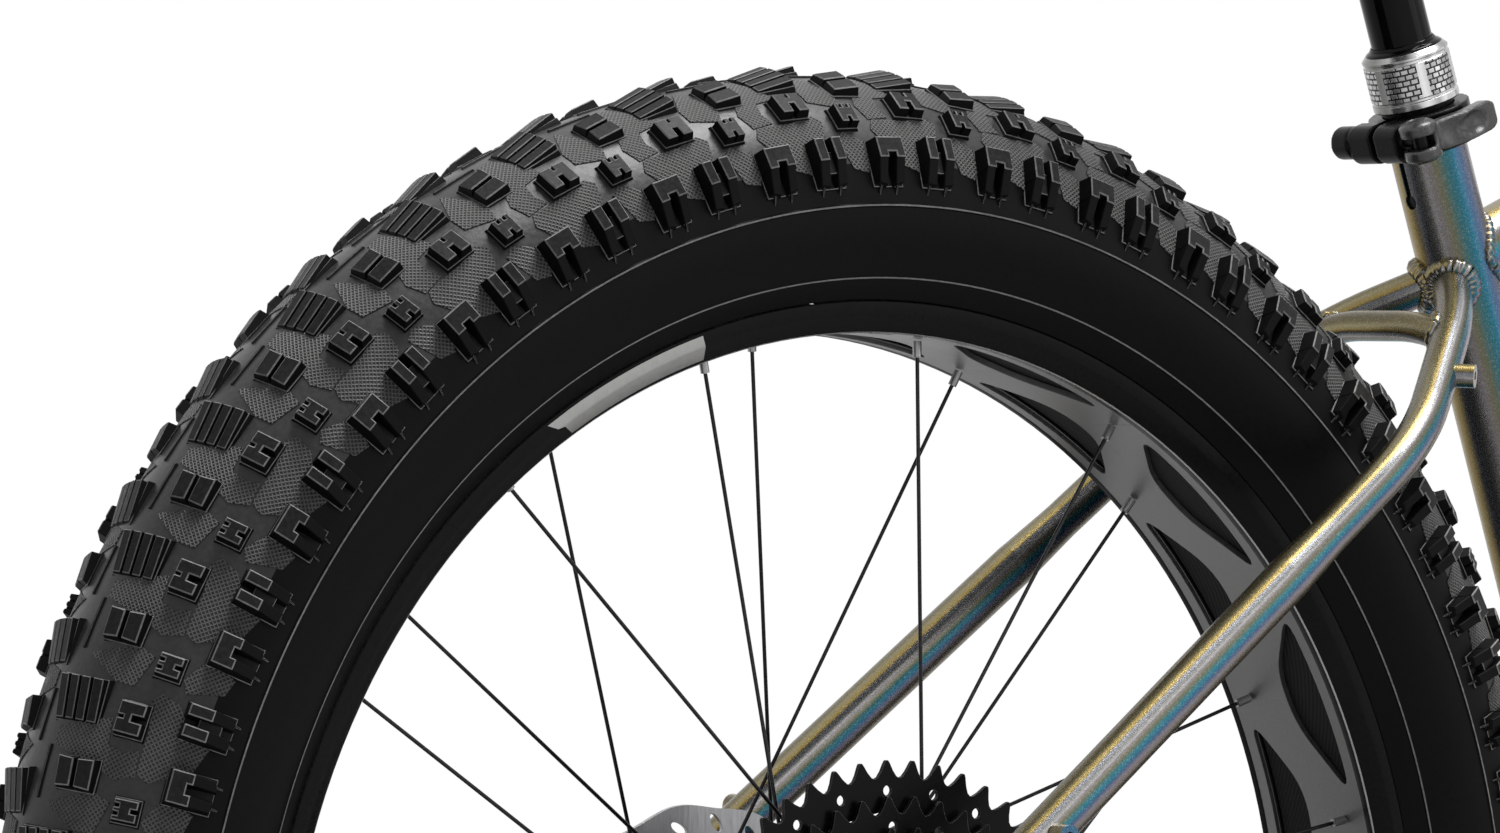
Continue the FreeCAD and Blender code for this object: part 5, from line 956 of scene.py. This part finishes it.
def makeRotor(spec, name, y):
    store = ([], [], [])
    steps = spec["waves"] * spec["waveSteps"]
    outer = []
    for step in range(steps):
        angle = fullTurn * step / steps
        wave = math.sin(angle * spec["waves"])
        outer.append(around(spec["radius"] - spec["waveDepth"] * (0.5 - 0.5 * wave), angle))
    holes = [circlePoints(0.0, 0.0, spec["bore"], 48)]
    for slot in range(spec["slots"]):
        angle = fullTurn * (slot + 0.5) / spec["slots"]
        centre = Vector(around(spec["slotReach"][slot % 2], angle))
        along = Vector(around(1.0, angle + spec["slotLean"][slot % 2]))
        wide = Vector((-along.y, along.x))
        oval = []
        for step in range(spec["slotSteps"]):
            x, y2 = around(1.0, fullTurn * step / spec["slotSteps"])
            spot = centre + along * spec["slotLong"] * x + wide * spec["slotWide"] * y2
            oval.append((spot.x, spot.y))
        holes.append(oval)
    for arm in range(spec["arms"]):
        holes.append(sectorWindow(*spec["window"], fullTurn * arm / spec["arms"], spec["windowHalf"],
                                  spec["windowSlant"]))
    for bolt in range(spec["arms"]):
        spot = around(spec["boltCircle"], fullTurn * (bolt + 0.5) / spec["arms"])
        holes.append(circlePoints(*spot, spec["boltRadius"]))
    addPlate(store, outer, holes, y, spec["thickness"])
    return newMesh(name, *store, ["rotor_steel"], angle=30.0)


cassetteMesh = makeCassette(cassetteSpec)
newPiece("cassetteSprockets", cassetteMesh, "cassette", ("cassette",), rearAxle)
for label, axle, y in (("rear", rearAxle, 78.0), ("front", frontAxle, 55.0)):
    name = label + "DiscPlate"
    discMesh = makeRotor(rotorSpec, name, y)
    newPiece(name, discMesh, label + "_wheel", (label + "_brake_rotor",), axle)
print("sprockets and discs")

# weld beads where the tubes meet
weldSpec = {"plainBead": {"beadRadius": 2.7, "ripple": 3.3, "rippleDepth": 0.20},
            "stackedBead": {"beadRadius": 4.8, "ripple": 2.3, "rippleDepth": 0.09},
            "pathSteps": 160, "ringsPerRipple": 5, "sides": 10,
            "topTube": 15.9, "seatTube": 16.7, "headTube": 23.0, "downTube": 25.0, "shell": 23.0, "stay": 8.2,
            "bridge": 6.6, "chainstay": 10.0, "topTubeUp": 376.0, "topTubeDrop": 32.0, "downTubeDrop": 75.0,
            "stayUp": 368.4, "stayBack": 10.0, "stayHead": (0.0, 5.0, 0.0), "stayCrook": (-27.0, 38.0, -17.0),
            "stayBend": (-90.0, 87.0, -65.0), "bridgeShare": 0.86, "bridgeRise": 5.0,
            "chainstayRoot": (-16.0, 38.0, 0.0), "chainstayNeck": (-66.0, 45.0, 0.45), "topTubeNear": 17.0,
            "stayNear": 14.0, "bridgeNear": 8.0, "chainstayNear": 8.0}


def weldPath(spec, origin, run, radius, otherPoint, otherRun, otherRadius, towards):
    # where one round tube's skin meets another's, as a closed line
    run = run.normalized()
    otherRun = otherRun.normalized()
    sideA = run.orthogonal().normalized()
    sideB = run.cross(sideA)
    path = []
    for step in range(spec["pathSteps"]):
        a, b = around(radius, fullTurn * step / spec["pathSteps"])
        start = origin + sideA * a + sideB * b
        gap = start - otherPoint
        gap = gap - otherRun * gap.dot(otherRun)
        flatRun = run - otherRun * run.dot(otherRun)
        square = flatRun.dot(flatRun)
        linear = 2 * gap.dot(flatRun)
        inside = max(0.0, linear ** 2 - 4 * square * (gap.dot(gap) - otherRadius ** 2))
        roots = [(-linear + sign * math.sqrt(inside)) / (2 * square) for sign in (-1, 1)]
        path.append(start + run * min(roots, key=lambda root: abs(root - towards)))
    return path


def addBead(store, spec, bead, path):
    # a round bead along a closed line, swollen in ripples
    verts = store[0]
    spots = path + path[:1]
    lengths = [0.0]
    for here, there in zip(spots, spots[1:]):
        lengths.append(lengths[-1] + (there - here).length)
    rings = max(6, round(lengths[-1] / bead["ripple"])) * spec["ringsPerRipple"]
    sides = spec["sides"]
    depth = bead["rippleDepth"]
    start = len(verts)
    for ringNumber in range(rings):
        distance = lengths[-1] * ringNumber / rings
        number = max(index for index, value in enumerate(lengths) if value <= distance + 1e-9)
        number = min(number, len(spots) - 2)
        step = spots[number + 1] - spots[number]
        share = (distance - lengths[number]) / max(1e-6, lengths[number + 1] - lengths[number])
        along = step.normalized()
        sideA = along.orthogonal().normalized()
        sideB = along.cross(sideA)
        phase = ringNumber / spec["ringsPerRipple"] % 1.0
        swell = bead["beadRadius"] * (1.0 - depth + depth * math.sin(math.pi * phase))
        for side in range(sides):
            a, b = around(swell, fullTurn * side / sides)
            verts.append(spots[number] + step * share + sideA * a + sideB * b)
    addGrid(store, start, rings, sides, plainMark)


def makeWelds(spec):
    store = ([], [], [])
    topSeat = bracket + seatUp * spec["topTubeUp"]
    topHead = headTop - headUp * spec["topTubeDrop"]
    downHead = headTop - headUp * spec["downTubeDrop"]
    joint = bracket + seatUp * spec["stayUp"] - Vector((spec["stayBack"], 0.0, 0.0))
    seatTube = (seatTop, seatUp, spec["seatTube"])
    headTube = (headTop, headUp, spec["headTube"], spec["headTube"])
    shell = (bracket, acrossBike, spec["shell"])
    joins = [
        (topSeat, topHead - topSeat, spec["topTube"], *seatTube, spec["topTubeNear"]),
        (topHead, topSeat - topHead, spec["topTube"], *headTube),
        (downHead, bracket - downHead, spec["downTube"], *headTube),
        (bracket, downHead - bracket, spec["downTube"], *shell, spec["shell"]),
        (bracket, seatUp, spec["seatTube"], *shell, spec["shell"]),
    ]
    for side in (-1, 1):
        def onSide(origin, key):
            x, y, z = spec[key]
            return origin + Vector((x, y * side, z))

        head = onSide(joint, "stayHead")
        crook = onSide(joint, "stayCrook")
        bend = onSide(joint, "stayBend")
        stayWeld = weldPath(spec, head, crook - head, spec["stay"], *seatTube, spec["stayNear"])
        addBead(store, spec, spec["stackedBead"], stayWeld)
        bridgeEnd = bend.lerp(crook, spec["bridgeShare"])
        bridgeRun = Vector((0.0, -bridgeEnd.y / 2, spec["bridgeRise"]))
        joins.append((bridgeEnd, bridgeRun, spec["bridge"], bend, crook - bend, spec["stay"],
                      spec["bridgeNear"]))
        root = onSide(bracket, "chainstayRoot")
        neck = onSide(bracket, "chainstayNeck")
        joins.append((root, neck - root, spec["chainstay"], *shell, spec["chainstayNear"]))
    for join in joins:
        addBead(store, spec, spec["plainBead"], weldPath(spec, *join))
    return newMesh("frameWelds", *store, ["frame_metal"], angle=60.0)


weldMesh = makeWelds(weldSpec)
newPiece("frameWelds", weldMesh, "frame")
print("welds", len(weldMesh.polygons))

# dropper collar: turned silver ring with pressed panels, and the wiper above it
collarSpec = {"ring": ((15.9, 5.4), (18.2, 5.4), (18.75, 6.0), (18.75, 8.6), (18.2, 9.0), (18.2, 9.9),
                       (18.75, 10.3), (18.75, 25.2), (18.3, 25.6), (18.3, 26.6), (18.75, 27.0), (18.75, 27.9),
                       (16.9, 29.9), (13.7, 30.0)),
              "wiper": ((16.6, 29.9), (16.4, 30.4), (15.6, 31.0), (14.6, 31.6), (14.1, 32.6), (13.7, 33.0),
                        (13.45, 32.8)),
              "steps": 120, "panelRow": 6, "panelSteps": 20, "panelGap": 3}


def seatSpot(x, y, z):
    return seatTop + seatFront * x + acrossBike * y + seatUp * z


def makeCollar(spec):
    store = ([], [], [])
    verts = store[0]
    chart = []
    steps = spec["steps"]

    def ringMark(step, number):
        return int(number == spec["panelRow"] and step % spec["panelSteps"] > spec["panelGap"])

    for outline, marksOf in ((spec["ring"], ringMark), (spec["wiper"], lambda step, number: 2)):
        start = len(verts)
        for step in range(steps + 1):
            turn = fullTurn * step / steps
            for radius, z in outline:
                verts.append(seatSpot(*around(radius, turn), z))
                chart.append((turn * radius * mapScale, z * mapScale))
        addGrid(store, start, steps + 1, len(outline), marksOf, False, False, True)
    return newMesh("dropperCollarRing", *store, ["silver_metal", "knurl", "gloss_black"], angle=32.0,
                   mapName="collarMap", mapPoints=chart)


newPiece("dropperCollarRing", makeCollar(collarSpec), "frame", ("dropper_collar",))

# seat clamp and its lever, with cast roundings
clampSpec = {"drop": 4.5, "voxel": 0.6, "passes": 9, "earBack": 24.0, "earReach": 6.9, "earHalf": 15.2,
             "tipStart": 11.5, "tipReach": 7.4, "headPin": (-24.0, -25.0), "headRadius": 8.0, "dome": 0.26,
             "domeFrom": 5.0, "domeRise": 1.06, "scoop": (2.0, 8.4, 5.0, 3.2), "elbow": (-1.0, -29.5),
             "armSlope": 0.196, "tipSlope": 0.212}


def remeshedCopy(name, nodeName, voxel):
    piece = bpy.data.objects.new(name, nodes[nodeName].data.copy())
    piece.data.name = name
    scene.collection.objects.link(piece)
    for other in bpy.context.selected_objects:
        other.select_set(False)
    bpy.context.view_layer.objects.active = piece
    piece.select_set(True)
    piece.data.remesh_voxel_size = voxel * mm
    bpy.ops.object.voxel_remesh()
    return piece


def finishCopy(piece, nodeName, body, passes):
    soft = piece.modifiers.new("castRound", "SMOOTH")
    soft.factor = 0.5
    soft.iterations = passes
    mesh = piece.data
    mesh.materials.clear()
    mesh.materials.append(finishes[slotOfNode[nodeName]])
    mesh.polygons.foreach_set("use_smooth", [True] * len(mesh.polygons))
    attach(piece, body)
    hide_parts(nodeName)


def roundEnd(past, reach, least):
    return math.sqrt(max(least, 1 - (past / reach) ** 2))


def shapeClamp(spec, x, y, z):
    if abs(y) < spec["earHalf"] and x < -spec["earBack"]:
        z *= roundEnd(x + spec["earBack"], spec["earReach"], 0.08)
    return x, y, z


def shapeLever(spec, x, y, z):
    if x > spec["tipStart"]:
        z *= roundEnd(x - spec["tipStart"], spec["tipReach"], 0.03)
    away = math.hypot(x - spec["headPin"][0], y - spec["headPin"][1]) / spec["headRadius"]
    if away < 1.1 and abs(z) > spec["domeFrom"]:
        z *= spec["domeRise"] - spec["dome"] * away ** 3
    # thumb hollow on the outer face of the arm
    middle, halfLong, halfHigh, depth = spec["scoop"]
    hollow = 1 - ((x - middle) / halfLong) ** 2 - (z / halfHigh) ** 2
    past = x - spec["elbow"][0]
    line = spec["elbow"][1] + max(0.0, past) * spec["tipSlope"] - min(0.0, past) * spec["armSlope"]
    if hollow > 0 and y < line:
        y += depth * math.sqrt(hollow)
    return x, y, z


def castPiece(name, nodeName, body, shape, spec):
    piece = remeshedCopy(name, nodeName, spec["voxel"])
    for vertex in piece.data.vertices:
        away = vertex.co / mm - seatTop
        x, y, z = shape(spec, away.dot(seatFront), away.dot(acrossBike), away.dot(seatUp) + spec["drop"])
        vertex.co = seatSpot(x, y, z - spec["drop"]) * mm
    finishCopy(piece, nodeName, body, spec["passes"])


castPiece("seatClampBand", "seat_clamp", "frame", shapeClamp, clampSpec)
castPiece("seatClampBlade", "seat_clamp_lever", "clamp_lever", shapeLever, clampSpec)
print("seat clamp")

# saddle cover: swollen foam under a stretched skin
saddleSpec = {"voxel": 5.0, "pressure": 3.0, "frames": 16, "cap": 3.0, "foot": 4.0, "swellShare": 0.4,
              "passes": 8, "fill": 0.9}


def swellPad(piece, spec):
    mesh = piece.data
    rest = [vertex.co.copy() for vertex in mesh.vertices]
    floor = min(spot.z for spot in rest) + spec["foot"] * mm
    pins = piece.vertex_groups.new(name="foot")
    pins.add([number for number, spot in enumerate(rest) if spot.z < floor], 1.0, "REPLACE")
    cloth = piece.modifiers.new("padSwell", "CLOTH")
    cloth.settings.use_pressure = True
    cloth.settings.uniform_pressure_force = spec["pressure"]
    cloth.settings.effector_weights.gravity = 0.0
    cloth.settings.vertex_group_mass = "foot"
    cloth.point_cache.frame_end = spec["frames"]
    for number in range(1, spec["frames"] + 1):
        scene.frame_set(number)
    solved = piece.evaluated_get(bpy.context.evaluated_depsgraph_get()).data
    spots = [vertex.co.copy() for vertex in solved.vertices]
    piece.modifiers.remove(cloth)
    scene.frame_set(1)
    cap = spec["cap"] * mm
    for vertex, before, after in zip(mesh.vertices, rest, spots):
        move = after - before
        if move.length > cap:
            move = move.normalized() * cap
        vertex.co = before + move * spec["swellShare"]


def makeSaddle(spec):
    piece = remeshedCopy("saddlePad", "saddle_cover", spec["voxel"])
    swellPad(piece, spec)
    finishCopy(piece, "saddle_cover", "seatpost", spec["passes"])
    finer = piece.modifiers.new("padRound", "SUBSURF")
    finer.levels = 1
    finer.render_levels = 1


makeSaddle(saddleSpec)
print("saddle pad")

# pale floor, fading to white at its edge
floorSpec = {"radius": 3.2, "rings": 24, "spokes": 64, "colour": 0.74, "drop": 0.0006, "fade": (0.35, 0.97)}


def makeFloor(spec):
    count = spec["spokes"]
    verts = [(0.0, 0.0, -spec["drop"])]
    for ringNumber in range(1, spec["rings"] + 1):
        reach = spec["radius"] * ringNumber / spec["rings"]
        for step in range(count):
            verts.append((*around(reach, fullTurn * step / count), -spec["drop"]))
    faces = [[0, 1 + step, 1 + (step + 1) % count] for step in range(count)]
    addGrid((verts, faces, []), 1, spec["rings"], count, plainMark, False, True, True)
    mesh = bpy.data.meshes.new("studioFloor")
    mesh.from_pydata(verts, [], faces)
    floor = bpy.data.objects.new("studioFloor", mesh)
    scene.collection.objects.link(floor)
    material, tree, _ = startMaterial("paleFloor", spec["colour"], 0.9, Specular_IOR_Level=0.1)
    near, far = (spec["radius"] * share for share in spec["fade"])
    fade = addNode(tree, "MapRange", interpolation_type="SMOOTHSTEP", From_Min=near, From_Max=far,
                   Value=vector2(tree, "LENGTH", objectPlace(tree)))
    white = addNode(tree, "Emission", Color=grey(1.0))
    mask = math2(tree, "MULTIPLY", fade.outputs["Result"], whiteRays(tree))
    mixShaders(tree, mask, tree.nodes["Principled BSDF"], white, "Material Output")
    mesh.materials.append(material)


makeFloor(floorSpec)
